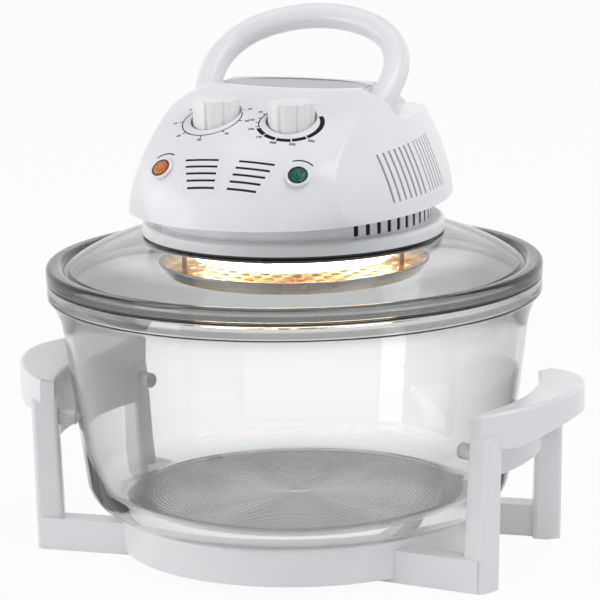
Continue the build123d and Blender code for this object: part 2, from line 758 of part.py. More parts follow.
with BuildPart() as terminal_block:
    floor_top = flange_bottom + base_floor
    block((-14.0, 14.0), (56.0, 68.0), (floor_top, floor_top + 9.0))
    block((-14.0, 14.0), (58.0, 66.0), (floor_top + 9.0, floor_top + 12.0))
    for x in (-9.0, 0.0, 9.0):
        column(x, 62.0, 2.2, floor_top + 6.0, floor_top + 13.0, mode=Mode.SUBTRACT)
        with BuildSketch(Plane.XZ.offset(-69.0)):
            with Locations((x, floor_top + 4.5)):
                Circle(2.0)
        extrude(amount=14.0, mode=Mode.SUBTRACT)
terminal_block.part.label = "terminal_block"
export_step(terminal_block.part, "parts/terminal_block.step")

with BuildPart() as housing_screws:
    for place in boss_places:
        head_top = shelf_top - shelf_thickness
        column(*place, screw_head_radius, head_top - screw_head_height, head_top)
        column(*place, screw_radius, head_top, shelf_top + 12.0)
housing_screws.part.label = "housing_screws"
export_step(housing_screws.part, "parts/housing_screws.step")


# ================================================================ handle
handle_plane = Plane(
    origin=(0, 0, pivot_height),
    x_dir=(1, 0, 0),
    z_dir=(0, -cos(radians(handle_lean)), sin(radians(handle_lean))),
)
shoulder_turn = 90.0 - handle_crown_angle

with BuildPart() as carry_handle:
    with BuildLine(handle_plane) as handle_path:
        left_foot = (-handle_half_width, 0)
        leg_up = (sin(radians(-leg_turn)), cos(radians(leg_turn)))
        leg_left = JernArc(left_foot, leg_up, handle_leg_radius, -leg_turn)
        shoulder_left = JernArc(leg_left @ 1, leg_left % 1, handle_shoulder_radius, -shoulder_turn)
        crown = JernArc(shoulder_left @ 1, shoulder_left % 1, handle_crown_radius, -2 * handle_crown_angle)
        shoulder_right = JernArc(crown @ 1, crown % 1, handle_shoulder_radius, -shoulder_turn)
        JernArc(shoulder_right @ 1, shoulder_right % 1, handle_leg_radius, -leg_turn)
    with BuildSketch(Plane(origin=handle_path.wires()[0] @ 0, z_dir=handle_path.wires()[0] % 0)):
        Circle(handle_tube)
    sweep(path=handle_path.wires()[0])
    with Locations((-handle_half_width, 0, pivot_height), (handle_half_width, 0, pivot_height)):
        Sphere(handle_tube)
    rod((-handle_half_width, -channel_inner_x), 0.0, pivot_height, pin_radius, mode=Mode.SUBTRACT)
    rod((channel_inner_x, handle_half_width), 0.0, pivot_height, pin_radius, mode=Mode.SUBTRACT)
carry_handle.part.label = "carry_handle"
export_step(carry_handle.part, "parts/carry_handle.step")

pin_inner_x = -(channel_inner_x - 9.0)

with BuildPart() as switch_cam:
    with BuildSketch(Plane.YZ.offset(cam_x)):
        with Locations((0, pivot_height)):
            Circle(cam_radius)
        with Locations((0, pivot_height - cam_lift)):
            Circle(cam_radius - 1.0)
        with Locations((0, pivot_height)):
            Circle(pin_radius + shaft_fit, mode=Mode.SUBTRACT)
    extrude(amount=cam_width)
switch_cam.part.label = "switch_cam"
export_step(switch_cam.part, "parts/switch_cam.step")

with BuildPart() as safety_switch:
    switch_top = pivot_height - cam_lift - cam_radius + 1.0 - seat_gap
    wall_face = channel_inner_x - housing_wall
    block((wall_face - switch_width, wall_face), (-2.0, 14.0), (switch_top - 11.0, switch_top - 1.5))
    column(cam_x + cam_width / 2, 0, 1.2, switch_top - 2.0, switch_top)
safety_switch.part.label = "safety_switch"
export_step(safety_switch.part, "parts/safety_switch.step")

with BuildPart() as handle_pins:
    rod((-handle_half_width, pin_inner_x), 0.0, pivot_height, pin_radius)
    rod((-pin_inner_x, handle_half_width), 0.0, pivot_height, pin_radius)
handle_pins.part.label = "handle_pins"
export_step(handle_pins.part, "parts/handle_pins.step")


# ================================================================ controls
def knob(x):
    """Turning knob with flats round its skirt and a bore for its shaft."""
    with BuildSketch(Plane.XY.offset(knob_bottom)) as outline:
        with Locations((x, knob_y)):
            Circle(knob_radius)
        with Locations((x, knob_y)):
            with PolarLocations(knob_radius + 3.2, knob_flats):
                Circle(4.0, mode=Mode.SUBTRACT)
    extrude(outline.sketch, amount=knob_height)
    top = knob_bottom + knob_height
    with BuildSketch(Plane(origin=(x, knob_y, 0), x_dir=(1, 0, 0), z_dir=(0, -1, 0))) as crown:
        Polygon(
            (0, knob_bottom),
            (knob_radius, knob_bottom),
            (knob_radius, top - knob_crown - knob_edge),
            (knob_radius - knob_edge, top - knob_crown),
            (0, top),
            align=None,
        )
    revolve(crown.sketch, axis=Axis((x, knob_y, 0), (0, 0, 1)), mode=Mode.INTERSECT)
    column(x, knob_y, dial_shaft_radius, knob_bottom - 1.0, knob_bottom + knob_height - 4.0, mode=Mode.SUBTRACT)


with BuildPart() as timer_knob:
    knob(-knob_x)
timer_knob.part.label = "timer_knob"
export_step(timer_knob.part, "parts/timer_knob.step")

with BuildPart() as temperature_knob:
    knob(knob_x)
temperature_knob.part.label = "temperature_knob"
export_step(temperature_knob.part, "parts/temperature_knob.step")

unit_top = well_floor - housing_wall - 1.2
bracket_top = well_floor - housing_wall

with BuildPart() as timer_shaft:
    column(-knob_x, knob_y, dial_shaft_radius, unit_top - 12.0, knob_bottom + knob_height - 5.0)
timer_shaft.part.label = "timer_shaft"
export_step(timer_shaft.part, "parts/timer_shaft.step")

with BuildPart() as thermostat_shaft:
    column(knob_x, knob_y, dial_shaft_radius, unit_top - 8.0, knob_bottom + knob_height - 5.0)
thermostat_shaft.part.label = "thermostat_shaft"
export_step(thermostat_shaft.part, "parts/thermostat_shaft.step")

with BuildPart() as control_bracket:
    block((-42.0, 42.0), (knob_y - 13.0, knob_y + 18.0), (unit_top, bracket_top))
    for mirror_x in (-1, 1):
        column(mirror_x * knob_x, knob_y, dial_shaft_radius + 0.6, unit_top - 1.0, bracket_top + 1.0, mode=Mode.SUBTRACT)
control_bracket.part.label = "control_bracket"
export_step(control_bracket.part, "parts/control_bracket.step")

with BuildPart() as timer_unit:
    block((-knob_x - 17.0, -knob_x + 17.0), (knob_y - 17.0, knob_y + 19.0), (unit_top - 26.0, unit_top))
    column(-knob_x, knob_y, dial_shaft_radius + shaft_fit, unit_top - 12.0, unit_top + 1.0, mode=Mode.SUBTRACT)
timer_unit.part.label = "timer_unit"
export_step(timer_unit.part, "parts/timer_unit.step")

with BuildPart() as thermostat_unit:
    column(knob_x, knob_y, 16.0, unit_top - 12.0, unit_top)
    column(knob_x, knob_y, 9.0, unit_top - 18.0, unit_top - 12.0)
    column(knob_x, knob_y, dial_shaft_radius + shaft_fit, unit_top - 8.0, unit_top + 1.0, mode=Mode.SUBTRACT)
thermostat_unit.part.label = "thermostat_unit"
export_step(thermostat_unit.part, "parts/thermostat_unit.step")


# ================================================================ lamps on the front
def indicator(mirror_x):
    """Domed lens with its barrel behind the panel."""
    plane = lens_plane_at(mirror_x)
    crown_radius = (lens_radius**2 + lens_dome**2) / (2 * lens_dome)
    extrude(disc(plane.offset(-lens_depth), lens_radius), amount=lens_depth + lens_edge + lens_dome)
    with Locations(plane.offset(lens_edge + lens_dome - crown_radius).origin):
        Sphere(crown_radius, mode=Mode.INTERSECT)


def bezel_profile():
    """Half section of a bezel: a barrel in the panel and a flange on it."""
    inner = lens_radius + fit_gap
    with BuildSketch() as profile:
        Polygon(
            (inner, -2.6),
            (bezel_barrel_radius, -2.6),
            (bezel_barrel_radius, 0.3),
            (bezel_flange_radius, 0.3),
            (bezel_flange_radius, bezel_height - 0.6),
            (bezel_flange_radius - 0.6, bezel_height),
            (inner, bezel_height),
            align=None,
        )
    return profile.sketch


def turned_at_lens(profile, mirror_x):
    """Turns a half section about the axis of one indicator."""
    plane = lens_plane_at(mirror_x)
    upright = Plane(origin=plane.origin, x_dir=plane.x_dir, z_dir=plane.x_dir.cross(plane.z_dir))
    revolve(upright * profile, axis=Axis(plane.origin, plane.z_dir))


with BuildPart() as power_bezel:
    turned_at_lens(bezel_profile(), -1)
power_bezel.part.label = "power_bezel"
export_step(power_bezel.part, "parts/power_bezel.step")

with BuildPart() as heat_bezel:
    turned_at_lens(bezel_profile(), 1)
heat_bezel.part.label = "heat_bezel"
export_step(heat_bezel.part, "parts/heat_bezel.step")

with BuildPart() as power_lens:
    indicator(-1)
power_lens.part.label = "power_lens"
export_step(power_lens.part, "parts/power_lens.step")

with BuildPart() as heat_lens:
    indicator(1)
heat_lens.part.label = "heat_lens"
export_step(heat_lens.part, "parts/heat_lens.step")

# ================================================================ heater
insulation_top = flange_bottom
with BuildPart() as insulation_disc:
    column(0, 0, insulation_radius, reflector_top, insulation_top)
    column(0, 0, shaft_radius + 3.0, reflector_top - 1.0, insulation_top + 1.0, mode=Mode.SUBTRACT)
    for place in reflector_screw_places():
        column(*place, screw_radius + fit_gap, reflector_top - 1.0, insulation_top + 1.0, mode=Mode.SUBTRACT)
    for angle in strip_angles:
        place = spoke_point(strip_foot_radius, angle)
        column(*place, screw_radius + fit_gap, reflector_top - 1.0, insulation_top - 1.0, mode=Mode.SUBTRACT)
insulation_disc.part.label = "insulation_disc"
export_step(insulation_disc.part, "parts/insulation_disc.step")

reflector_bottom = reflector_top - reflector_thickness
with BuildPart() as reflector_plate:
    column(0, 0, reflector_radius, reflector_bottom, reflector_top)
    column(0, 0, shaft_radius + 2.0, reflector_bottom - 1.0, reflector_top + 1.0, mode=Mode.SUBTRACT)
    for place in reflector_screw_places() + [spoke_point(strip_foot_radius, angle) for angle in strip_angles]:
        column(*place, screw_radius + fit_gap, reflector_bottom - 1.0, reflector_top + 1.0, mode=Mode.SUBTRACT)
reflector_plate.part.label = "reflector_plate"
export_step(reflector_plate.part, "parts/reflector_plate.step")

with BuildPart() as halogen_tube:
    start_plane = Plane(
        origin=(*spoke_point(lamp_ring_radius, lamp_gap_angle + lamp_gap_half), lamp_height),
        x_dir=(*spoke_point(1.0, lamp_gap_angle + lamp_gap_half), 0),
        z_dir=(*spoke_point(1.0, lamp_gap_angle + lamp_gap_half + 90.0), 0),
    )
    with BuildSketch(start_plane):
        Circle(lamp_tube_radius)
    revolve(axis=Axis.Z, revolution_arc=360.0 - 2 * lamp_gap_half)
halogen_tube.part.label = "halogen_tube"
export_step(halogen_tube.part, "parts/halogen_tube.step")

with BuildPart() as lamp_end_caps:
    for side in (-1, 1):
        place = spoke_point(lamp_ring_radius, lamp_gap_angle + side * (lamp_gap_half - 3.5))
        column(*place, 3.4, lamp_height - 5.0, reflector_bottom)
lamp_end_caps.part.label = "lamp_end_caps"
export_step(lamp_end_caps.part, "parts/lamp_end_caps.step")

with BuildPart() as guard_tray:
    rim = tray_radius
    with BuildSketch(Plane.XZ):
        Polygon(
            (0, tray_floor),
            (rim - 5.0, tray_floor),
            (rim, tray_rim_top - 0.6),
            (rim, tray_rim_top),
            (rim - 1.6, tray_rim_top),
            (rim - 5.8, tray_floor + tray_sheet),
            (0, tray_floor + tray_sheet),
            align=None,
        )
    revolve(axis=Axis.Z)
    with BuildSketch(Plane.XY.offset(tray_floor - 1.0)):
        with HexLocations(tray_pitch / 2, 13, 13):
            RegularPolygon(tray_hole / 2, 6)
        Circle(rim - 9.0, mode=Mode.INTERSECT)
    extrude(amount=tray_sheet + 2.0, mode=Mode.SUBTRACT)
guard_tray.part.label = "guard_tray"
export_step(guard_tray.part, "parts/guard_tray.step")

with BuildPart() as guard_strips:
    for angle in strip_angles:
        with BuildSketch(spoke_plane(strip_radius, angle, tray_floor + tray_sheet)):
            Rectangle(1.2, strip_width)
        extrude(amount=reflector_bottom - tray_floor - tray_sheet)
        for bottom in (tray_floor + tray_sheet, reflector_bottom - 1.2):
            with BuildSketch(spoke_plane(strip_foot_radius, angle, bottom)):
                Rectangle(8.0, strip_width)
            extrude(amount=1.2)
        place = spoke_point(strip_foot_radius, angle)
        column(*place, screw_radius + fit_gap, reflector_bottom - 2.0, reflector_bottom + 1.0, mode=Mode.SUBTRACT)
guard_strips.part.label = "guard_strips"
export_step(guard_strips.part, "parts/guard_strips.step")

with BuildPart() as guard_screws:
    for angle in strip_angles:
        place = spoke_point(strip_foot_radius, angle)
        seat = reflector_bottom - 1.2
        column(*place, screw_head_radius - 1.2, seat - 1.6, seat)
        column(*place, screw_radius, seat, insulation_top - 1.5)
guard_screws.part.label = "guard_screws"
export_step(guard_screws.part, "parts/guard_screws.step")

with BuildPart() as reflector_screws:
    for place in reflector_screw_places():
        column(*place, screw_head_radius, reflector_bottom - screw_head_height, reflector_bottom)
        column(*place, screw_radius, reflector_bottom, insulation_top + base_floor - 0.2)
reflector_screws.part.label = "reflector_screws"
export_step(reflector_screws.part, "parts/reflector_screws.step")

with BuildPart() as lamp_clips:
    clip_reach = lamp_tube_radius + clip_wall
    for angle in clip_angles:
        with BuildSketch(spoke_plane(lamp_ring_radius, angle, lamp_height + 1.0)):
            Rectangle(2 * clip_reach, clip_width)
        extrude(amount=reflector_bottom - lamp_height - 1.0)
    with BuildSketch(Plane.XZ):
        with Locations((lamp_ring_radius, lamp_height)):
            Circle(lamp_tube_radius + fit_gap)
    revolve(axis=Axis.Z, mode=Mode.SUBTRACT)
lamp_clips.part.label = "lamp_clips"
export_step(lamp_clips.part, "parts/lamp_clips.step")

# ================================================================ motor
with BuildPart() as motor_shaft:
    column(0, 0, shaft_radius, shaft_bottom, shaft_top)
motor_shaft.part.label = "motor_shaft"
export_step(motor_shaft.part, "parts/motor_shaft.step")


def fan(radius, hub_radius, bottom, height, blades):
    """Flat disc with upright blades, tight on the motor shaft."""
    column(0, 0, radius, bottom, bottom + 1.2)
    column(0, 0, hub_radius, bottom, bottom + height)
    for i in range(blades):
        angle = 360.0 * i / blades
        with BuildSketch(spoke_plane(radius * 0.6, angle, bottom + 1.2)) as blade:
            Rectangle(radius * 0.7, 1.2, rotation=25.0)
        extrude(blade.sketch, amount=height - 1.2)
    column(0, 0, shaft_radius, bottom - 1.0, bottom + height + 1.0, mode=Mode.SUBTRACT)


with BuildPart() as cooling_fan:
    fan(cooling_fan_radius, 7.0, cooling_fan_bottom, cooling_fan_height, 9)
cooling_fan.part.label = "cooling_fan"
export_step(cooling_fan.part, "parts/cooling_fan.step")

with BuildPart() as convection_fan:
    fan(convection_fan_radius, 6.0, convection_fan_bottom, convection_fan_height, 9)
convection_fan.part.label = "convection_fan"
export_step(convection_fan.part, "parts/convection_fan.step")

with BuildPart() as fan_nut:
    with BuildSketch(Plane.XY.offset(convection_fan_bottom - 3.0)):
        RegularPolygon(4.0, 6, major_radius=False)
        Circle(shaft_radius, mode=Mode.SUBTRACT)
    extrude(amount=3.0)
fan_nut.part.label = "fan_nut"
export_step(fan_nut.part, "parts/fan_nut.step")

plate_half = motor_post_place + 6.0
with BuildPart() as motor_bracket:
    block(
        (-plate_half, plate_half), (-plate_half, plate_half),
        (motor_plate_height, motor_plate_height + motor_plate_thickness),
    )
    column(0, 0, bearing_radius, motor_plate_height - 1.0, motor_plate_height + 4.0, mode=Mode.SUBTRACT)
    for x in (-motor_post_place, motor_post_place):
        for y in (-motor_post_place, motor_post_place):
            column(x, y, screw_radius + fit_gap, motor_plate_height - 1.0, motor_plate_height + 4.0, mode=Mode.SUBTRACT)
motor_bracket.part.label = "motor_bracket"
export_step(motor_bracket.part, "parts/motor_bracket.step")

with BuildPart() as lower_bearing:
    bearing_top = motor_stack_bottom - seat_gap
    column(0, 0, bearing_radius, bearing_top - bearing_length, bearing_top)
    column(0, 0, shaft_radius + shaft_fit, bearing_top - 10.0, bearing_top + 1.0, mode=Mode.SUBTRACT)
lower_bearing.part.label = "lower_bearing"
export_step(lower_bearing.part, "parts/lower_bearing.step")

stack_top = motor_stack_bottom + motor_stack_height
upper_plate = stack_top + motor_bracket_rise

with BuildPart() as upper_bracket:
    block((-motor_stack_half, motor_stack_half), (-8.0, 8.0), (upper_plate, upper_plate + motor_plate_thickness))
    for x in (-motor_stack_half + 5.0, motor_stack_half - 5.0):
        column(x, 0, 3.5, stack_top, upper_plate)
    column(0, 0, bearing_radius, stack_top, upper_plate + 5.0, mode=Mode.SUBTRACT)
upper_bracket.part.label = "upper_bracket"
export_step(upper_bracket.part, "parts/upper_bracket.step")

with BuildPart() as upper_bearing:
    bearing_top = upper_plate + motor_plate_thickness
    column(0, 0, bearing_radius, bearing_top - bearing_length, bearing_top)
    column(0, 0, shaft_radius + shaft_fit, bearing_top - 10.0, bearing_top + 1.0, mode=Mode.SUBTRACT)
upper_bearing.part.label = "upper_bearing"
export_step(upper_bearing.part, "parts/upper_bearing.step")

with BuildPart() as motor_stator:
    half = motor_stack_half
    block((-half, half), (-half, half), (motor_stack_bottom, motor_stack_bottom + motor_stack_height))
    column(0, 0, rotor_radius + 0.4, motor_stack_bottom - 1.0, motor_stack_bottom + motor_stack_height + 1.0, mode=Mode.SUBTRACT)
    fillet(motor_stator.edges().filter_by(Axis.Z), 6.0)
motor_stator.part.label = "motor_stator"
export_step(motor_stator.part, "parts/motor_stator.step")

with BuildPart() as stator_coil:
    with BuildSketch(Plane.XY.offset(motor_stack_bottom + 1.0)):
        with Locations((0, motor_stack_half + coil_depth / 2)):
            RectangleRounded(coil_width, coil_depth, 3.0)
    extrude(amount=motor_stack_height - 2.0)
stator_coil.part.label = "stator_coil"
export_step(stator_coil.part, "parts/stator_coil.step")

with BuildPart() as motor_screws:
    plate_top = motor_plate_height + motor_plate_thickness
    for x in (-motor_post_place, motor_post_place):
        for y in (-motor_post_place, motor_post_place):
            column(x, y, screw_head_radius - 0.4, plate_top, plate_top + screw_head_height)
            column(x, y, screw_radius, motor_plate_height - 8.0, plate_top)
motor_screws.part.label = "motor_screws"
export_step(motor_screws.part, "parts/motor_screws.step")

with BuildPart() as motor_rotor:
    column(0, 0, rotor_radius, motor_stack_bottom, motor_stack_bottom + motor_stack_height)
    column(0, 0, shaft_radius, motor_stack_bottom - 1.0, motor_stack_bottom + motor_stack_height + 1.0, mode=Mode.SUBTRACT)
motor_rotor.part.label = "motor_rotor"
export_step(motor_rotor.part, "parts/motor_rotor.step")
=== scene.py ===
"""Looks of a tabletop halogen oven: stand, glass bowl, glass lid and the head on it."""

import logging
import math
from dataclasses import dataclass, field
from enum import Enum
from typing import Callable, Iterable, Sequence

import bmesh
import bpy
from mathutils import Matrix, Vector
from mathutils.bvhtree import BVHTree


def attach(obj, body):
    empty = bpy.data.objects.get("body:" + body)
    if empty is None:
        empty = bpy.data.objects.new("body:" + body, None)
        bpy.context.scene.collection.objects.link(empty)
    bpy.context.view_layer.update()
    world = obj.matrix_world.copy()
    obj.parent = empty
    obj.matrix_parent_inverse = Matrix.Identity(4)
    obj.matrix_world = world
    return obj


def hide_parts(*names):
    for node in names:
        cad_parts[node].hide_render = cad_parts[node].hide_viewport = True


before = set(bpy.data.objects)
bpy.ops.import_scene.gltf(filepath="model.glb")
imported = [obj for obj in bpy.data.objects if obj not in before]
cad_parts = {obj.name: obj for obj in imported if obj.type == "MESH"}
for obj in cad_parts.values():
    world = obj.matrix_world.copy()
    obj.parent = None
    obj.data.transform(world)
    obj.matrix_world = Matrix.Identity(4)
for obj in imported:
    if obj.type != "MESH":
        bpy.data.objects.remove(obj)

MM = 0.001
MERGE = 0.000001
LOG = logging.getLogger("oven")
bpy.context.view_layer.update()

Colour = tuple[float, float, float]
Place = tuple[float, float, float]
Point = tuple[float, float]
Face = tuple[int, ...]


class Body(Enum):
    """Moving bodies of the oven."""

    STAND = "stand"
    BOWL = "bowl"
    LID = "lid"
    HANDLE = "handle"
    TIMER = "timer_dial"
    TEMPERATURE = "temperature_dial"
    ROTOR = "rotor"


# ---------------------------------------------------------------- node maths
def number_operator(operation: str, swapped: bool = False) -> Callable[["Val", "Val | float"], "Val"]:
    """Makes one of Python's operators for numbers in a node tree.

    Args:
        operation: what its Math node does.
        swapped: True for a reflected operator, whose own number comes second.

    Returns:
        The method.
    """

    def method(own: "Val", other: "Val | float") -> "Val":
        """Adds the Math node."""
        return own.kit.maths(operation, *((other, own) if swapped else (own, other)))

    return method


class Val:
    """A number in a node tree, on which Python's operators add Math nodes."""

    __add__ = __radd__ = number_operator("ADD")
    __sub__ = number_operator("SUBTRACT")
    __rsub__ = number_operator("SUBTRACT", swapped=True)
    __mul__ = __rmul__ = number_operator("MULTIPLY")
    __truediv__ = number_operator("DIVIDE")
    __rtruediv__ = number_operator("DIVIDE", swapped=True)
    __pow__ = number_operator("POWER")
    __rpow__ = number_operator("POWER", swapped=True)

    def __init__(self, kit: "Kit", socket: bpy.types.NodeSocket) -> None:
        """Keeps the tree's kit and the socket that carries the number."""
        self.kit = kit
        self.socket = socket

    def clamp(self) -> "Val":
        """The number held between 0 and 1."""
        return self.kit.maths("MINIMUM", self.kit.maths("MAXIMUM", self, 0.0), 1.0)

    def rise(self, low: float, high: float) -> "Val":
        """Climbs from 0 to 1 as the number goes from low to high."""
        return ((self - low) * (1.0 / (high - low))).clamp()

    def fall(self, low: float, high: float) -> "Val":
        """Drops from 1 to 0 as the number goes from low to high."""
        return 1.0 - self.rise(low, high)

    def wave(self) -> "Val":
        """Sine of the number."""
        return self.kit.maths("SINE", self)

    def ripple(self, pitch: float) -> "Val":
        """Swings between 0 and 1, once in each pitch."""
        return (self * (2 * math.pi / pitch)).wave() * 0.5 + 0.5


class Kit:
    """Adds nodes to one tree, of a material or of geometry."""

    def __init__(self, tree: bpy.types.NodeTree) -> None:
        """Keeps the tree."""
        self.tree = tree

    def add(self, kind: str, settings: dict | None = None, inputs: dict | None = None) -> bpy.types.Node:
        """Adds one node.

        Args:
            kind: Blender's name for the node type.
            settings: properties that are set first.
            inputs: values or links by socket name or number.

        Returns:
            The node.
        """
        node = self.tree.nodes.new(kind)
        for key, value in (settings or {}).items():
            setattr(node, key, value)
        for key, value in (inputs or {}).items():
            self.feed(node.inputs[key], value)
        return node

    def feed(self, socket: bpy.types.NodeSocket, value: object) -> None:
        """Links a value, node output or plain number to a socket.

        Args:
            socket: the socket that takes it.
            value: a value, a node's output, or a plain number, colour or text.
        """
        if isinstance(value, Val):
            value = value.socket
        if isinstance(value, bpy.types.NodeSocket):
            self.tree.links.new(value, socket)
        elif isinstance(value, tuple) and len(value) == 3 and socket.type == "RGBA":
            socket.default_value = (*value, 1.0)
        else:
            socket.default_value = value

    def maths(self, operation: str, *operands: "Val | float") -> Val:
        """Adds a Math node on its operands."""
        node = self.add("ShaderNodeMath", {"operation": operation}, dict(enumerate(operands)))
        return Val(self, node.outputs[0])

    def mix(self, share: Val, low: object, high: object) -> bpy.types.NodeSocket:
        """Colour between two colours, each of them a tuple or a socket."""
        return self.add("ShaderNodeMix", {"data_type": "RGBA"}, {0: share, 6: low, 7: high}).outputs[2]


class Shader(Kit):
    """The node kit of one material."""

    def __init__(self, name: str) -> None:
        """Makes an empty material of that name.

        Args:
            name: the material's name.
        """
        self.material = bpy.data.materials.new(name)
        self.material.use_nodes = True
        super().__init__(self.material.node_tree)
        self.tree.nodes.clear()
        self.output = self.add("ShaderNodeOutputMaterial")
        self.place = self.add("ShaderNodeTexCoord").outputs["Object"]

    def axes(self) -> tuple[Val, Val, Val]:
        """The three Object coordinates, in metres."""
        split = self.add("ShaderNodeSeparateXYZ", {}, {0: self.place})
        return tuple(Val(self, output) for output in split.outputs)

    def radius(self) -> Val:
        """Distance from the upright axis through the oven, in metres."""
        x, y, _ = self.axes()
        return (x * x + y * y) ** 0.5

    def noise(self, size: float, detail: float = 3.0, stretch: Place = (1, 1, 1)) -> Val:
        """Soft noise whose blotches are about size metres across.

        Args:
            size: size of a blotch, in metres.
            detail: how much finer noise is added.
            stretch: scale of the noise along each axis.

        Returns:
            The noise, from 0 to 1.
        """
        vector = self.add("ShaderNodeVectorMath", {"operation": "MULTIPLY"}, {0: self.place, 1: stretch})
        settings = {"Vector": vector.outputs[0], "Scale": 1.0 / size, "Detail": detail}
        return Val(self, self.add("ShaderNodeTexNoise", {}, settings).outputs["Fac"])

    def cells(self, size: float) -> Val:
        """Distance to the nearest of scattered points about size metres apart."""
        node = self.add("ShaderNodeTexVoronoi", {}, {"Vector": self.place, "Scale": 1.0 / size})
        return Val(self, node.outputs["Distance"])

    def bump(self, height: Val, depth: float, strength: float = 1.0) -> bpy.types.NodeSocket:
        """Normal that shows height as relief, depth metres deep."""
        node = self.add("ShaderNodeBump", {}, {"Height": height, "Distance": depth, "Strength": strength})
        return node.outputs["Normal"]

    def surface(self, inputs: dict) -> bpy.types.Node:
        """Adds the main shader and links it to the output.

        Args:
            inputs: values or links by socket name.

        Returns:
            The shader's node.
        """
        node = self.add("ShaderNodeBsdfPrincipled", {}, inputs)
        self.feed(self.output.inputs["Surface"], node.outputs[0])
        return node

    def let_lamps_through(self, glass: bpy.types.Node, film: Colour) -> None:
        """Lets lamp light through glass, tinted by film.

        Args:
            glass: the glass's shader node.
            film: tint of the light that passes.
        """
        shadow = self.add("ShaderNodeLightPath").outputs["Is Shadow Ray"]
        clear = self.add("ShaderNodeBsdfTransparent", {}, {"Color": film})
        mixed = self.add("ShaderNodeMixShader", {}, {0: shadow, 1: glass.outputs[0], 2: clear.outputs[0]})
        self.feed(self.output.inputs["Surface"], mixed.outputs[0])


def tinted(colour: Colour, share: float, lift: float = 0.0) -> Colour:
    """A colour times a share and plus a lift, at most 1."""
    return tuple(min(1.0, part * share + lift) for part in colour)


# ---------------------------------------------------------------- finishes
READY: dict["Finish", bpy.types.Material] = {}


@dataclass(frozen=True)
class Finish:
    """A surface finish that makes its material once."""

    name: str

    def material(self) -> bpy.types.Material:
        """The finish's material, made on first use.

        Returns:
            The material.
        """
        if self not in READY:
            shader = Shader(self.name)
            self.shade(shader)
            READY[self] = shader.material
        return READY[self]

    def shade(self, shader: Shader) -> None:
        """Adds the finish's nodes."""
        raise NotImplementedError


@dataclass(frozen=True)
class MouldedPlastic(Finish):
    """Injection moulded plastic with a faint cloud in its gloss and a fine skin, and on the housing painted
    shade over its flat oval top.
    """

    colour: Colour
    roughness: float = 0.24
    skin: float = 0.000004
    grain: float = 0.0012
    coat: float = 0.25
    painted_top_shade: Colour | None = None
    painted_top_level: float = 0.3062
    painted_top_centre: float = 0.0085
    painted_top_reach: Point = (0.0535, 0.0205)

    def shade(self, shader: Shader) -> None:
        """Adds the finish's nodes.

        Args:
            shader: the node kit of the finish's material.
        """
        cloud = shader.noise(0.045, 2.0)
        grain = shader.noise(self.grain, 2.0)
        colour = shader.mix(cloud.rise(0.35, 0.7), self.colour, tinted(self.colour, 0.965))
        # Painted shade: the flat oval top of the housing is coloured grey-lilac, as if it faced away from the
        # lamps.
        if self.painted_top_shade is not None:
            x, y, height = shader.axes()
            x, y = x / self.painted_top_reach[0], (y - self.painted_top_centre) / self.painted_top_reach[1]
            top = (x * x + y * y).fall(0.94, 1.0) * height.rise(self.painted_top_level, self.painted_top_level + 0.0004)
            colour = shader.mix(top, colour, self.painted_top_shade)
        shader.surface({
            "Base Color": colour,
            "Roughness": (cloud * 0.10 + (self.roughness - 0.05)).clamp(),
            "Normal": shader.bump(grain, self.skin),
            "Coat Weight": self.coat,
            "Coat Roughness": 0.12,
            "IOR": 1.5,
        })


@dataclass(frozen=True)
class ShadeBand:
    """Band of painted shade on glass, outside a radius and between two heights, in metres."""

    radius: float
    low: float
    high: float
    colour: Colour


@dataclass(frozen=True)
class OvenGlass(Finish):
    """Tempered glass with painted shade and dark reflections: it greys towards its edges and in its heavy
    rim; sizes in metres.
    """

    tint: Colour
    edge: Colour
    rim_tint: Colour
    rim: Point
    density: float
    bands: tuple[ShadeBand, ...]
    frost_radius: float = 0.0
    frost_top: float = 0.0
    frost_and_shade_tint: Colour = (0.6, 0.6, 0.6)
    heart_tint: Colour | None = None
    heart: Point = (0.121, 0.137)
    body: Colour = (0.70, 0.71, 0.71)
    shadow: Colour = (0.93, 0.94, 0.94)
    blur: float = 0.0003

    def shade(self, shader: Shader) -> None:
        """Adds the finish's nodes.

        Args:
            shader: the node kit of the finish's material.
        """
        _, _, height = shader.axes()
        radius = shader.radius()
        slant = Val(shader, shader.add("ShaderNodeLayerWeight", {}, {"Blend": 0.5}).outputs["Facing"])
        rough = shader.noise(0.03, 3.0).rise(0.5, 0.8) * 0.03
        # Painted shade and dark reflections: the colour greys at grazing angles, in the rim and in the bands,
        # and the lid's heart is left lighter.
        colour = shader.mix(slant.rise(0.12, 0.95), self.tint, self.edge)
        if self.heart_tint is not None:
            colour = shader.mix(radius.fall(*self.heart) * 0.8, colour, self.heart_tint)
        colour = shader.mix(radius.rise(*self.rim), colour, self.rim_tint)
        for shade_band in self.bands:
            outside = radius.rise(shade_band.radius, shade_band.radius + 2 * self.blur)
            above = height.rise(shade_band.low, shade_band.low + self.blur)
            below = height.fall(shade_band.high, shade_band.high + self.blur)
            colour = shader.mix(outside * above * below, colour, shade_band.colour)
        # The frosted middle of the bowl's floor: rougher, and greyed by painted shade.
        if self.frost_radius:
            frost = radius.fall(self.frost_radius - 0.003, self.frost_radius)
            frost = frost * height.fall(self.frost_top, self.frost_top + 0.001)
            rough = rough + frost * 0.16
            colour = shader.mix(frost, colour, self.frost_and_shade_tint)
        glass = shader.surface({
            "Base Color": colour,
            "Roughness": rough,
            "Transmission Weight": 1.0,
            "IOR": 1.47,
        })
        body = shader.add("ShaderNodeVolumeAbsorption", {}, {"Color": self.body, "Density": self.density})
        shader.feed(shader.output.inputs["Volume"], body.outputs[0])
        shader.let_lamps_through(glass, self.shadow)


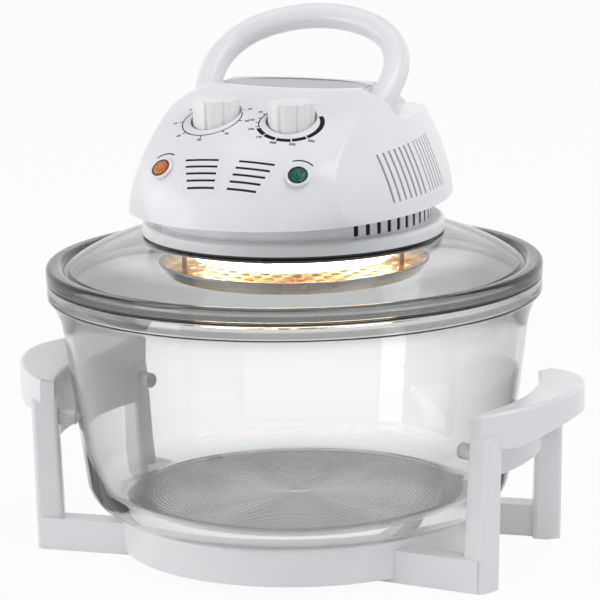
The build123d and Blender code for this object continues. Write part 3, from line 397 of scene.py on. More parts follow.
@dataclass(frozen=True)
class SpunMetal(Finish):
    """Sheet metal with rings left by spinning, a little heat colour, and on the guard tray painted glow of
    the lamp.
    """

    colour: Colour
    warm: Colour
    roughness: float = 0.25
    ring_pitch: float = 0.0009
    lamp_glow: Colour | None = None
    deep_lamp_glow: Colour | None = None
    lamp_glow_radius: float = 0.0872

    def shade(self, shader: Shader) -> None:
        """Adds the finish's nodes.

        Args:
            shader: the node kit of the finish's material.
        """
        radius = shader.radius()
        rings = radius.ripple(self.ring_pitch)
        tint = shader.noise(0.02, 3.0)
        colour = shader.mix(tint.rise(0.4, 0.75), self.colour, self.warm)
        # Painted lamp glow: the middle of the guard tray is coloured warm orange, in clouds, as if lit by the
        # lamp.
        if self.lamp_glow is not None:
            inside = radius.fall(self.lamp_glow_radius - 0.004, self.lamp_glow_radius)
            clouds = shader.noise(0.016, 3.0).rise(0.50, 0.68)
            colour = shader.mix(inside, colour, shader.mix(clouds, self.lamp_glow, self.deep_lamp_glow))
        shader.surface({
            "Base Color": colour,
            "Metallic": 1.0,
            "Roughness": (tint * 0.12 + self.roughness).clamp(),
            "Normal": shader.bump(rings, 0.00002, 0.5),
        })


@dataclass(frozen=True)
class PlainMetal(Finish):
    """Drawn or plated metal with fine scratches and small stains."""

    colour: Colour
    roughness: float = 0.3
    stretch: Place = (1.0, 1.0, 0.08)

    def shade(self, shader: Shader) -> None:
        """Adds the finish's nodes.

        Args:
            shader: the node kit of the finish's material.
        """
        scratch = shader.noise(0.0006, 3.0, self.stretch)
        stain = shader.noise(0.008, 4.0)
        shader.surface({
            "Base Color": shader.mix(stain.rise(0.45, 0.8), self.colour, tinted(self.colour, 0.8)),
            "Metallic": 1.0,
            "Roughness": (scratch * 0.2 + (self.roughness - 0.08)).clamp(),
            "Normal": shader.bump(scratch, 0.00001, 0.6),
        })


@dataclass(frozen=True)
class SoftRubber(Finish):
    """Rubber or silicone with a dull, slightly blotched skin."""

    colour: Colour
    roughness: float = 0.6
    transmission: float = 0.0

    def shade(self, shader: Shader) -> None:
        """Adds the finish's nodes.

        Args:
            shader: the node kit of the finish's material.
        """
        skin = shader.noise(0.0009, 3.0)
        dust = shader.noise(0.006, 3.0)
        shader.surface({
            "Base Color": shader.mix(dust.rise(0.5, 0.8), self.colour, tinted(self.colour, 1.15, 0.01)),
            "Roughness": (skin * 0.2 + (self.roughness - 0.1)).clamp(),
            "Normal": shader.bump(skin, 0.00002),
            "Transmission Weight": self.transmission,
            "IOR": 1.42,
        })


@dataclass(frozen=True)
class Speckled(Finish):
    """Board or ceramic with a dry speckled body."""

    colour: Colour
    speck: Colour
    roughness: float = 0.75
    size: float = 0.0011

    def shade(self, shader: Shader) -> None:
        """Adds the finish's nodes.

        Args:
            shader: the node kit of the finish's material.
        """
        flakes = shader.cells(self.size)
        shader.surface({
            "Base Color": shader.mix(flakes.rise(0.2, 0.7), self.colour, self.speck),
            "Roughness": self.roughness,
            "Normal": shader.bump(flakes, 0.00003),
        })


@dataclass(frozen=True)
class LampAndPaintedGlow(Finish):
    """Quartz tube of the lamp, lit from inside; the lamp clips take it too, as painted glow."""

    glow: Colour
    strength: float

    def shade(self, shader: Shader) -> None:
        """Adds the finish's nodes.

        Args:
            shader: the node kit of the finish's material.
        """
        bands = shader.noise(0.012, 2.0)
        shader.surface({
            "Base Color": (0.9, 0.85, 0.78),
            "Roughness": 0.15,
            "Emission Color": shader.mix(bands.rise(0.3, 0.7), self.glow, tinted(self.glow, 0.5, 0.5)),
            "Emission Strength": self.strength,
        })


@dataclass(frozen=True)
class FacetedLens(Finish):
    """Coloured lamp lens with moulded facets below a clear skin."""

    colour: Colour
    deep: Colour
    centre: Place
    facet: float = 0.0022
    ring_pitch: float = 0.0024

    def shade(self, shader: Shader) -> None:
        """Adds the finish's nodes.

        Args:
            shader: the node kit of the finish's material.
        """
        ends = {0: shader.place, 1: self.centre}
        away = shader.add("ShaderNodeVectorMath", {"operation": "DISTANCE"}, ends)
        reach = Val(shader, away.outputs["Value"])
        facets = shader.cells(self.facet)
        rings = reach.ripple(self.ring_pitch)
        # Painted shade: the colour deepens over the facets and rings away from the lens's middle.
        shade = (facets.rise(0.1, 0.75) * 0.6 + rings * 0.4) * reach.rise(0.0004, 0.006)
        shader.surface({
            "Base Color": shader.mix(shade.clamp(), self.colour, self.deep),
            "Roughness": facets * 0.15 + 0.12,
            "Normal": shader.bump(facets + rings * 0.4, 0.0006, 0.9),
            "Coat Weight": 0.15,
            "Coat Roughness": 0.04,
        })


@dataclass(frozen=True)
class PrintedInk(Finish):
    """Pad printed ink, a little worn."""

    colour: Colour

    def shade(self, shader: Shader) -> None:
        """Adds the finish's nodes.

        Args:
            shader: the node kit of the finish's material.
        """
        wear = shader.noise(0.0008, 4.0)
        shader.surface({
            "Base Color": shader.mix(wear.rise(0.55, 0.8), self.colour, tinted(self.colour, 1.0, 0.02)),
            "Roughness": wear * 0.2 + 0.55,
            "Specular IOR Level": 0.15,
        })


@dataclass(frozen=True)
class SlotShadeSheet(Finish):
    """Dark sheet with a fine weave, put in slots as painted shade."""

    colour: Colour
    pitch: float = 0.0006

    def shade(self, shader: Shader) -> None:
        """Adds the finish's nodes.

        Args:
            shader: the node kit of the finish's material.
        """
        x, y, height = shader.axes()
        turn = 2 * math.pi / self.pitch
        weave = (height * turn).wave() * ((x + y) * turn).wave() * 0.5 + 0.5
        shader.surface({
            "Base Color": shader.mix(weave, self.colour, tinted(self.colour, 2.2)),
            "Roughness": 0.7,
            "Specular IOR Level": 0.2,
            "Normal": shader.bump(weave, 0.0001),
        })


@dataclass(frozen=True)
class WoundCopper(Finish):
    """Enamelled copper wire wound in layers."""

    colour: Colour
    pitch: float = 0.0007

    def shade(self, shader: Shader) -> None:
        """Adds the finish's nodes.

        Args:
            shader: the node kit of the finish's material.
        """
        _, _, height = shader.axes()
        # Painted shade: the colour darkens between the turns of wire.
        turns = height.ripple(self.pitch)
        shader.surface({
            "Base Color": shader.mix(turns, tinted(self.colour, 0.45), self.colour),
            "Metallic": 0.85,
            "Roughness": 0.3,
            "Normal": shader.bump(turns, 0.0002),
        })


class Finishes:
    """Every finish on the oven."""

    WHITE = MouldedPlastic("gloss_white_plastic", (0.86, 0.865, 0.88))
    # The housing's white plastic, with painted shade coloured over its flat oval top.
    HOUSING = MouldedPlastic("capped_white_plastic", (0.86, 0.865, 0.88), painted_top_shade=(0.235, 0.235, 0.285))
    KNOB = MouldedPlastic("satin_knob_plastic", (0.88, 0.875, 0.87), 0.34, 0.000008, 0.0007, 0.2)
    HOLDER = MouldedPlastic("cream_unit_plastic", (0.68, 0.65, 0.56), 0.5, 0.00002, 0.0015, 0.0)
    SWITCH = MouldedPlastic("black_switch_plastic", (0.03, 0.03, 0.032), 0.4, 0.00001, 0.001, 0.0)
    CLEAR_PAD = SoftRubber("frosted_silicone", (0.82, 0.83, 0.84), 0.3, 0.55)
    FOOT = SoftRubber("grey_foot_rubber", (0.36, 0.37, 0.38))
    GASKET = SoftRubber("dark_gasket_silicone", (0.035, 0.034, 0.033), 0.55)
    GLAND = SoftRubber("white_gland_rubber", (0.70, 0.70, 0.71), 0.5)
    # Bowl glass: its bands are a painted grey band in the rim and a painted dark seam shadow at its top,
    # under the lid.
    BOWL_GLASS = OvenGlass(
        "bowl_tempered_glass", (0.992, 0.993, 0.993), (0.42, 0.425, 0.43), (0.50, 0.51, 0.51),
        (0.157, 0.162), 20.0,
        (ShadeBand(0.1555, 0.1738, 0.1778, (0.40, 0.40, 0.395)), ShadeBand(0.1560, 0.1823, 0.1836, (0.03, 0.03, 0.03))),
        0.113, 0.0358, (0.44, 0.44, 0.445),
    )
    # Lid glass: greyed outside its lighter heart, with a painted seam shadow at the bottom of its rim, a
    # painted dark band above it and a painted dark line at its top edge, all painted shade and dark
    # reflections.
    LID_GLASS = OvenGlass(
        "lid_tempered_glass", (0.67, 0.67, 0.675), (0.28, 0.285, 0.285), (0.36, 0.365, 0.36),
        (0.149, 0.155), 60.0,
        (ShadeBand(0.160, 0.1833, 0.1849, (0.012, 0.012, 0.012)), ShadeBand(0.160, 0.1852, 0.1885, (0.10, 0.098, 0.09)),
         ShadeBand(0.1612, 0.1902, 0.1935, (0.22, 0.22, 0.22))),
        heart_tint=(0.96, 0.96, 0.96),
    )
    ZINC = PlainMetal("zinc_plate", (0.62, 0.62, 0.6), 0.38)
    BRIGHT_STEEL = PlainMetal("ground_steel", (0.7, 0.69, 0.67), 0.22)
    STRIP = PlainMetal("blued_strip_steel", (0.46, 0.28, 0.14), 0.3)
    # Hole lips of the guard tray, coloured orange as painted glow of the lamp.
    LIP = PlainMetal("burnt_lip_steel", (0.88, 0.60, 0.34), 0.32)
    # Guard tray: the orange over its middle is painted glow of the lamp.
    GUARD = SpunMetal(
        "guard_sheet", (0.56, 0.55, 0.56), (0.58, 0.53, 0.49), 0.2,
        lamp_glow=(1.0, 0.87, 0.64), deep_lamp_glow=(0.86, 0.52, 0.24),
    )
    REFLECTOR = SpunMetal("reflector_sheet", (0.85, 0.84, 0.82), (0.84, 0.79, 0.72))
    QUARTZ = LampAndPaintedGlow("lit_quartz", (1.0, 0.76, 0.44), 8.5)
    # Lamp clips glow as painted light; they are no lamp.
    PAINTED_GLOW_CLIP = LampAndPaintedGlow("hot_clip", (1.0, 0.70, 0.36), 2.2)
    CERAMIC = Speckled("white_ceramic", (0.8, 0.78, 0.74), (0.7, 0.68, 0.64))
    MICA = Speckled("pressed_mica", (0.55, 0.45, 0.33), (0.68, 0.58, 0.45))
    BRONZE = PlainMetal("sintered_bronze", (0.55, 0.36, 0.18), 0.35)
    IRON = PlainMetal("stacked_iron", (0.32, 0.32, 0.33), 0.45, (0.05, 0.05, 1.0))
    COPPER = WoundCopper("enamelled_copper", (0.72, 0.33, 0.15))
    INK = PrintedInk("dial_ink", (0.012, 0.012, 0.014))
    # Dark and grey sheets behind the slots: painted shade.
    SLOT_SHADE = SlotShadeSheet("dark_gauze", (0.012, 0.010, 0.010))
    GREY_SLOT_SHADE = SlotShadeSheet("grey_gauze", (0.20, 0.20, 0.21))


# ---------------------------------------------------------------- mesh making
def settle(mesh: bpy.types.Mesh, angle: float = 35.0) -> None:
    """Shades a mesh smooth, with creases kept above an angle in degrees.

    Args:
        mesh: the mesh to shade.
        angle: the angle between two faces, in degrees.
    """
    mesh.polygons.foreach_set("use_smooth", [True] * len(mesh.polygons))
    mesh.set_sharp_from_angle(angle=math.radians(angle))
    mesh.update()


def piece(
    name: str, mesh: bpy.types.Mesh, body: Body, finish: Finish | None = None
) -> bpy.types.Object:
    """Makes a finished piece.

    Args:
        name: the piece's name.
        mesh: its mesh, with its place in it.
        body: the body that it moves with.
        finish: its finish, where the mesh has no material yet.

    Returns:
        The piece's object.
    """
    made = bpy.data.objects.new(name, mesh)
    bpy.context.scene.collection.objects.link(made)
    if finish is not None:
        mesh.materials.clear()
        mesh.materials.append(finish.material())
    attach(made, body.value)
    LOG.info("%s: %d faces on %s", name, len(mesh.polygons), body.value)
    return made


def mesh_from(vertices: Iterable[Sequence[float]], faces: Sequence[Face], name: str) -> bpy.types.Mesh:
    """Makes a mesh with outward faces from points in millimetres.

    Args:
        vertices: the points, in millimetres.
        faces: the numbers of each face's points.
        name: the mesh's name.

    Returns:
        The mesh, in metres.
    """
    mesh = bpy.data.meshes.new(name)
    mesh.from_pydata([tuple(part * MM for part in vertex) for vertex in vertices], [], faces)
    work = bmesh.new()
    work.from_mesh(mesh)
    bmesh.ops.remove_doubles(work, verts=work.verts, dist=MERGE)
    bmesh.ops.recalc_face_normals(work, faces=work.faces)
    work.to_mesh(mesh)
    work.free()
    settle(mesh)
    return mesh


def ring_faces(rings: int, count: int, ring_closed: bool = True, path_closed: bool = False) -> list[Face]:
    """Faces between rings of points that follow each other.

    Args:
        rings: how many rings there are.
        count: how many points each of them has.
        ring_closed: joins a ring's last point to its first.
        path_closed: joins the last ring to the first; both get a flat end where left out.

    Returns:
        The faces, as the points' numbers.
    """
    faces: list[Face] = []
    for ring in range(rings if path_closed else rings - 1):
        here, there = ring * count, ((ring + 1) % rings) * count
        for step in range(count if ring_closed else count - 1):
            after = (step + 1) % count
            faces.append((here + step, there + step, there + after, here + after))
    if not path_closed:
        faces += [tuple(range(count)), tuple(range((rings - 1) * count, rings * count))]
    return faces


def arc_points(
    centre: Point, radius: float, start: float, sweep: float, steps: int, skip: int = 0
) -> list[Point]:
    """Points of an arc.

    Args:
        centre: its centre.
        radius: its radius.
        start: the angle of its first point, in degrees.
        sweep: the angle that it covers, in degrees.
        steps: how many equal steps it takes.
        skip: how many of its first points are left out.

    Returns:
        The points in order.
    """
    turns = [math.radians(start + sweep * step / steps) for step in range(skip, steps + 1)]
    return [(centre[0] + radius * math.cos(turn), centre[1] + radius * math.sin(turn)) for turn in turns]


def tangent_arc(start: Point, heading: Point, end: Point, steps: int) -> list[Point]:
    """Points of the arc that leaves start along heading and ends at end, without its start.

    Args:
        start: where it starts.
        heading: its direction there.
        end: where it ends.
        steps: how many equal steps it takes.

    Returns:
        The points in order.
    """
    chord = (end[0] - start[0], end[1] - start[1])
    length, size = math.hypot(*chord), math.hypot(*heading)
    cross = (heading[0] * chord[1] - heading[1] * chord[0]) / (size * length)
    half = math.asin(max(-1.0, min(1.0, cross)))
    radius = length / (2 * math.sin(half))
    side = (-heading[1] / size * radius, heading[0] / size * radius)
    first = math.degrees(math.atan2(-side[1], -side[0]))
    centre = (start[0] + side[0], start[1] + side[1])
    return arc_points(centre, abs(radius), first, math.degrees(2 * half), steps, 1)


def three_point_arc(start: Point, middle: Point, end: Point, steps: int) -> list[Point]:
    """Points of the arc through three points, without its start.

    Args:
        start: where it starts.
        middle: a point that it passes.
        end: where it ends.
        steps: how many equal steps it takes.

    Returns:
        The points in order.
    """
    (ax, ay), (bx, by), (cx, cy) = start, middle, end
    scale = 2 * (ax * (by - cy) + bx * (cy - ay) + cx * (ay - by))
    squares = (ax * ax + ay * ay, bx * bx + by * by, cx * cx + cy * cy)
    ux = (squares[0] * (by - cy) + squares[1] * (cy - ay) + squares[2] * (ay - by)) / scale
    uy = (squares[0] * (cx - bx) + squares[1] * (ax - cx) + squares[2] * (bx - ax)) / scale
    first = math.atan2(ay - uy, ax - ux)
    sweep = math.remainder(math.atan2(cy - uy, cx - ux) - first, 2 * math.pi)
    reach = math.hypot(ax - ux, ay - uy)
    return arc_points((ux, uy), reach, math.degrees(first), math.degrees(sweep), steps, 1)


def lathe(
    name: str,
    profile: Sequence[Point],
    segments: int = 144,
    closed: bool = True,
    shape: Callable[[float, float, float], float] | None = None,
    frame_at: Matrix | None = None,
) -> bpy.types.Mesh:
    """Turns a profile round an axis.

    Args:
        name: the mesh's name.
        profile: radius and height of each point, in millimetres.
        segments: sides round the full turn.
        closed: joins the profile's last point to its first.
        shape: gives the radius at a radius, height and angle in degrees.
        frame_at: place of the axis, in millimetres; the upright through the origin where left out.

    Returns:
        The mesh, with outward faces.
    """
    vertices: list[Sequence[float]] = []
    for column in range(segments):
        angle = 360.0 * column / segments
        cosine, sine = math.cos(math.radians(angle)), math.sin(math.radians(angle))
        for radius, height in profile:
            reach = shape(radius, height, angle) if shape else radius
            vertices.append((reach * cosine, reach * sine, height))
    if frame_at is not None:
        vertices = [tuple(frame_at @ Vector(vertex)) for vertex in vertices]
    return mesh_from(vertices, ring_faces(segments, len(profile), closed, True), name)


def bead(name: str, path: Sequence[Vector], radius: float, sides: int = 8) -> bpy.types.Mesh:
    """Round bead along a path in millimetres that is closed on itself.

    Args:
        name: the mesh's name.
        path: points of its middle line.
        radius: its radius, in millimetres.
        sides: sides of its section.

    Returns:
        The mesh, with outward faces.
    """
    vertices = []
    for index, point in enumerate(path):
        along = (path[(index + 1) % len(path)] - path[index - 1]).normalized()
        across = along.cross(Vector((0.123, 0.41, 0.9))).normalized()
        up = across.cross(along)
        section = arc_points((0.0, 0.0), radius, 0.0, 360.0, sides, 1)
        vertices += [point + across * x + up * y for x, y in section]
    return mesh_from(vertices, ring_faces(len(path), sides, path_closed=True), name)


# ---------------------------------------------------------------- geometry nodes
class Pattern(Kit):
    """A Geometry Nodes tree with named inputs, run once to a plain mesh."""

    def __init__(self, name: str, sizes: dict[str, float | int] | None = None) -> None:
        """Makes the tree, its named inputs and its Part and Finish inputs.

        Args:
            name: the tree's name.
            sizes: the named inputs with their values.
        """
        super().__init__(bpy.data.node_groups.new(name, "GeometryNodeTree"))
        self.socket("Geometry", "Geometry")
        self.values: dict[str, object] = {}
        for label, value in (sizes or {}).items():
            kind = "Int" if isinstance(value, int) else "Float"
            self.values[self.socket(label, kind).identifier] = value
        self.part_id = self.socket("Part", "Object").identifier
        self.finish_id = self.socket("Finish", "Material").identifier
        self.socket("Geometry", "Geometry", "OUTPUT")
        self.entry = self.add("NodeGroupInput")
        self.exit = self.add("NodeGroupOutput")

    def socket(self, label: str, kind: str, way: str = "INPUT") -> bpy.types.NodeTreeInterfaceSocket:
        """Adds a named input or output to the tree."""
        return self.tree.interface.new_socket(label, in_out=way, socket_type="NodeSocket" + kind)

    def size(self, label: str) -> Val:
        """One of the named inputs."""
        return Val(self, self.entry.outputs[label])

    def close(self, geometry: bpy.types.NodeSocket) -> None:
        """Realizes the instances and sets the finish on them.

        Args:
            geometry: what the tree has made.
        """
        real = self.add("GeometryNodeRealizeInstances", {}, {0: geometry})
        finish = self.entry.outputs["Finish"]
        dressed = self.add("GeometryNodeSetMaterial", {}, {"Geometry": real.outputs[0], "Material": finish})
        self.feed(self.exit.inputs[0], dressed.outputs[0])

    def run(self, host: bpy.types.Mesh, finish: Finish, part: bpy.types.Mesh | None = None) -> bpy.types.Mesh:
        """Runs the tree on a host mesh.

        Args:
            host: the mesh that comes in, such as the points to set a part on.
            finish: the finish of what comes out.
            part: the mesh to repeat, for a tree that sets a part on points.

        Returns:
            A plain mesh.
        """
        carrier = bpy.data.objects.new(self.tree.name, host)
        bpy.context.scene.collection.objects.link(carrier)
        source = None
        modifier = carrier.modifiers.new("pattern", "NODES")
        modifier.node_group = self.tree
        for identifier, value in self.values.items():
            modifier[identifier] = value
        modifier[self.finish_id] = finish.material()
        if part is not None:
            source = bpy.data.objects.new(self.tree.name + "_part", part)
            bpy.context.scene.collection.objects.link(source)
            modifier[self.part_id] = source
        bpy.context.view_layer.update()
        depsgraph = bpy.context.evaluated_depsgraph_get()
        mesh = bpy.data.meshes.new_from_object(carrier.evaluated_get(depsgraph))
        carrier.modifiers.remove(modifier)
        for spare in filter(None, (carrier, source)):
            bpy.data.objects.remove(spare)
        settle(mesh)
        return mesh


def repeat_on_points(
    name: str, part: bpy.types.Mesh, places: Sequence[Vector], turns: Sequence[float], finish: Finish
) -> bpy.types.Mesh:
    """Sets a part on points with Geometry Nodes.

    Args:
        name: the tree's name.
        part: the mesh to repeat.
        places: where each one stands, in millimetres.
        turns: the turn of each about the upright, in degrees.
        finish: the finish of them all.

    Returns:
        A plain mesh of all of them.
    """
    pattern = Pattern(name, {"Scale": 1.0})
    turn = pattern.add("GeometryNodeInputNamedAttribute", {"data_type": "FLOAT"}, {"Name": "turn"})
    spin = pattern.add("ShaderNodeCombineXYZ", {}, {2: turn.outputs[0]})
    info = pattern.add("GeometryNodeObjectInfo", {}, {"Object": pattern.entry.outputs["Part"]})
    set_on = pattern.add("GeometryNodeInstanceOnPoints", {}, {
        "Points": pattern.entry.outputs["Geometry"],
        "Instance": info.outputs["Geometry"],
        "Rotation": spin.outputs[0],
        "Scale": pattern.size("Scale").socket,
    })
    pattern.close(set_on.outputs[0])
    host = bpy.data.meshes.new(name)
    host.from_pydata([tuple(place * MM) for place in places], [], [])
    attribute = host.attributes.new("turn", "FLOAT", "POINT")
    attribute.data.foreach_set("value", [math.radians(angle) for angle in turns])
    return pattern.run(host, finish, part)


def marks_round(
    name: str, count: int, radius: float, size: tuple[float, float], start: float, sweep: float
) -> bpy.types.Mesh:
    """Flat marks round a dial by Geometry Nodes.

    Args:
        name: the tree's name.
        count: how many marks there are.
        radius: the radius of their middles, in millimetres.
        size: a mark's length and width, in millimetres.
        start: the angle of the first one, in degrees.
        sweep: the angle from the first to the last, in degrees.

    Returns:
        A plain mesh of them all, in the XY plane.
    """
    pattern = Pattern(name, {
        "Count": count,
        "Radius": radius * MM,
        "Length": size[0] * MM,
        "Width": size[1] * MM,
        "Start": math.radians(start),
        "Sweep": math.radians(sweep),
    })
    index = Val(pattern, pattern.add("GeometryNodeInputIndex").outputs[0])
    angle = pattern.size("Start") + pattern.size("Sweep") * index / (pattern.size("Count") - 1.0)
    place = pattern.add("ShaderNodeCombineXYZ", {}, {
        0: pattern.maths("COSINE", angle) * pattern.size("Radius"),
        1: pattern.maths("SINE", angle) * pattern.size("Radius"),
    })
    line = pattern.add("GeometryNodeMeshLine", {}, {"Count": pattern.size("Count")})
    moved = pattern.add("GeometryNodeSetPosition", {}, {
        "Geometry": line.outputs[0], "Position": place.outputs[0],
    })
    grid = pattern.add("GeometryNodeMeshGrid", {}, {
        "Size X": pattern.size("Length"), "Size Y": pattern.size("Width"), "Vertices X": 3, "Vertices Y": 2,
    })
    spin = pattern.add("ShaderNodeCombineXYZ", {}, {2: angle})
    placed = pattern.add("GeometryNodeInstanceOnPoints", {}, {
        "Points": moved.outputs[0], "Instance": grid.outputs[0], "Rotation": spin.outputs[0],
    })
    pattern.close(placed.outputs[0])
    return pattern.run(bpy.data.meshes.new(name), Finishes.INK)


# ---------------------------------------------------------------- prints on the panel
class Panel:
    """A patch of the housing on which flat shapes are laid."""

    def __init__(self, tree: BVHTree, above: Vector, towards: Vector) -> None:
        """Finds the patch under a point, looking along a direction.

        Args:
            tree: the housing's surface.
            above: a point over the patch, in millimetres.
            towards: the direction of the look.
        """
        self.tree = tree
        hit, normal, _, _ = tree.ray_cast(above * MM, towards.normalized(), 0.2)
        self.origin = hit
        self.normal = normal.normalized()
        self.across = (Vector((1, 0, 0)) - self.normal * self.normal.x).normalized()
        self.up = self.normal.cross(self.across)

    def centre_on(self, over: Vector) -> None:
        """Moves the patch's middle to the foot of a point in metres."""
        self.origin = over - self.normal * (over - self.origin).dot(self.normal)

    def drop(self, x: float, y: float, lift: float) -> Vector:
        """The point of the housing under a place of the patch, in metres, raised by lift millimetres.

        Args:
            x: place across the patch, in metres.
            y: place up the patch, in metres.
            lift: height over the surface, in millimetres.

        Returns:
            The raised point, in metres.
        """
        start = self.origin + self.across * x + self.up * y + self.normal * 0.012
        hit, _, _, _ = self.tree.ray_cast(start, -self.normal, 0.05)
        if hit is None:
            hit = self.origin + self.across * x + self.up * y
        return hit + self.normal * (lift * MM)

    def lay(self, mesh: bpy.types.Mesh, lift: float = 0.07, sink: float = 0.15) -> bpy.types.Mesh:
        """Lays a flat mesh on the panel and gives it a thickness down into it.

        Args:
            mesh: the flat mesh, round the patch's middle.
            lift: height of its top over the surface, in millimetres.
            sink: its thickness, in millimetres.

        Returns:
            The same mesh, laid on the patch.
        """
        work = bmesh.new()
        work.from_mesh(mesh)
        bmesh.ops.remove_doubles(work, verts=work.verts, dist=MERGE)
        for face in work.faces:
            if face.normal.z < 0:
                face.normal_flip()
        copied = bmesh.ops.duplicate(work, geom=list(work.faces))
        lower = [part for part in copied["geom"] if isinstance(part, bmesh.types.BMFace)]
        sunk = {part for part in copied["geom"] if isinstance(part, bmesh.types.BMVert)}
        twin = {old: new for old, new in copied["vert_map"].items() if isinstance(old, bmesh.types.BMVert)}
        for edge in [edge for edge in work.edges if edge.is_boundary and edge.verts[0] not in sunk]:
            first, second = edge.verts
            if first in twin and second in twin:
                work.faces.new((first, second, twin[second], twin[first]))
        for face in lower:
            face.normal_flip()
        for vertex in work.verts:
            vertex.co = self.drop(vertex.co.x, vertex.co.y, lift - sink if vertex in sunk else lift)
        bmesh.ops.recalc_face_normals(work, faces=work.faces)
        work.to_mesh(mesh)
        work.free()
        mesh.update()
        return mesh


def flat_arc(
    name: str, radius: float, width: float, start: float, end: float, step: float = 4.0
) -> bpy.types.Mesh:
    """Flat strip along an arc, in the XY plane; millimetres and degrees.

    Args:
        name: the mesh's name.
        radius: radius of its middle line.
        width: its width.
        start: angle of its start.
        end: angle of its end.
        step: least angle of each of its faces.

    Returns:
        The mesh, in metres.
    """
    steps = max(1, int(abs(end - start) / step))
    reaches = ((radius - width / 2) * MM, (radius + width / 2) * MM)
    edges = [arc_points((0.0, 0.0), reach, start, end - start, steps) for reach in reaches]
    vertices = [(*point, 0.0) for pair in zip(*edges) for point in pair]
    mesh = bpy.data.meshes.new(name)
    mesh.from_pydata(vertices, [], [(at, at + 1, at + 3, at + 2) for at in range(0, 2 * steps, 2)])
    return mesh


def lettering(words: str, size: float, place: Point) -> bpy.types.Mesh:
    """Flat mesh of a few figures, in the XY plane round a place; millimetres.

    Args:
        words: the figures.
        size: their size.
        place: their middle.

    Returns:
        The mesh, in metres.
    """
    curve = bpy.data.curves.new("figures", "FONT")
    curve.body = words
    curve.size = size * MM
    curve.align_x = "CENTER"
    curve.align_y = "CENTER"
    curve.resolution_u = 3
    curve.offset = 0.09 * MM
    holder = bpy.data.objects.new("figures", curve)
    bpy.context.scene.collection.objects.link(holder)
    bpy.context.view_layer.update()
    mesh = bpy.data.meshes.new_from_object(holder.evaluated_get(bpy.context.evaluated_depsgraph_get()))
    bpy.data.objects.remove(holder)
    mesh.transform(Matrix.Translation((place[0] * MM, place[1] * MM, 0.0)))
    return mesh


def joined(name: str, meshes: Iterable[bpy.types.Mesh]) -> bpy.types.Mesh:
    """One mesh made of several.

    Args:
        name: the mesh's name.
        meshes: the meshes to join.

    Returns:
        The mesh.
    """
    work = bmesh.new()
    for mesh in meshes:
        work.from_mesh(mesh)
    whole = bpy.data.meshes.new(name)
    work.to_mesh(whole)
    work.free()
    return whole


# ---------------------------------------------------------------- studio
@dataclass(frozen=True)
class Lamp:
    """Soft square lamp aimed at the oven; metres and watts."""

    name: str
    place: Place
    size: float
    power: float
    colour: Colour = (1.0, 1.0, 1.0)
    aim: Place = (0.0, 0.0, 0.17)

    def hang(self) -> None:
        """Adds the lamp to the scene."""
        data = bpy.data.lights.new(self.name, "AREA")
        data.size = self.size
        data.energy = self.power
        data.color = self.colour
        made = bpy.data.objects.new(self.name, data)
        made.location = self.place
        made.rotation_euler = (Vector(self.aim) - Vector(self.place)).to_track_quat("-Z", "Y").to_euler()
        bpy.context.scene.collection.objects.link(made)


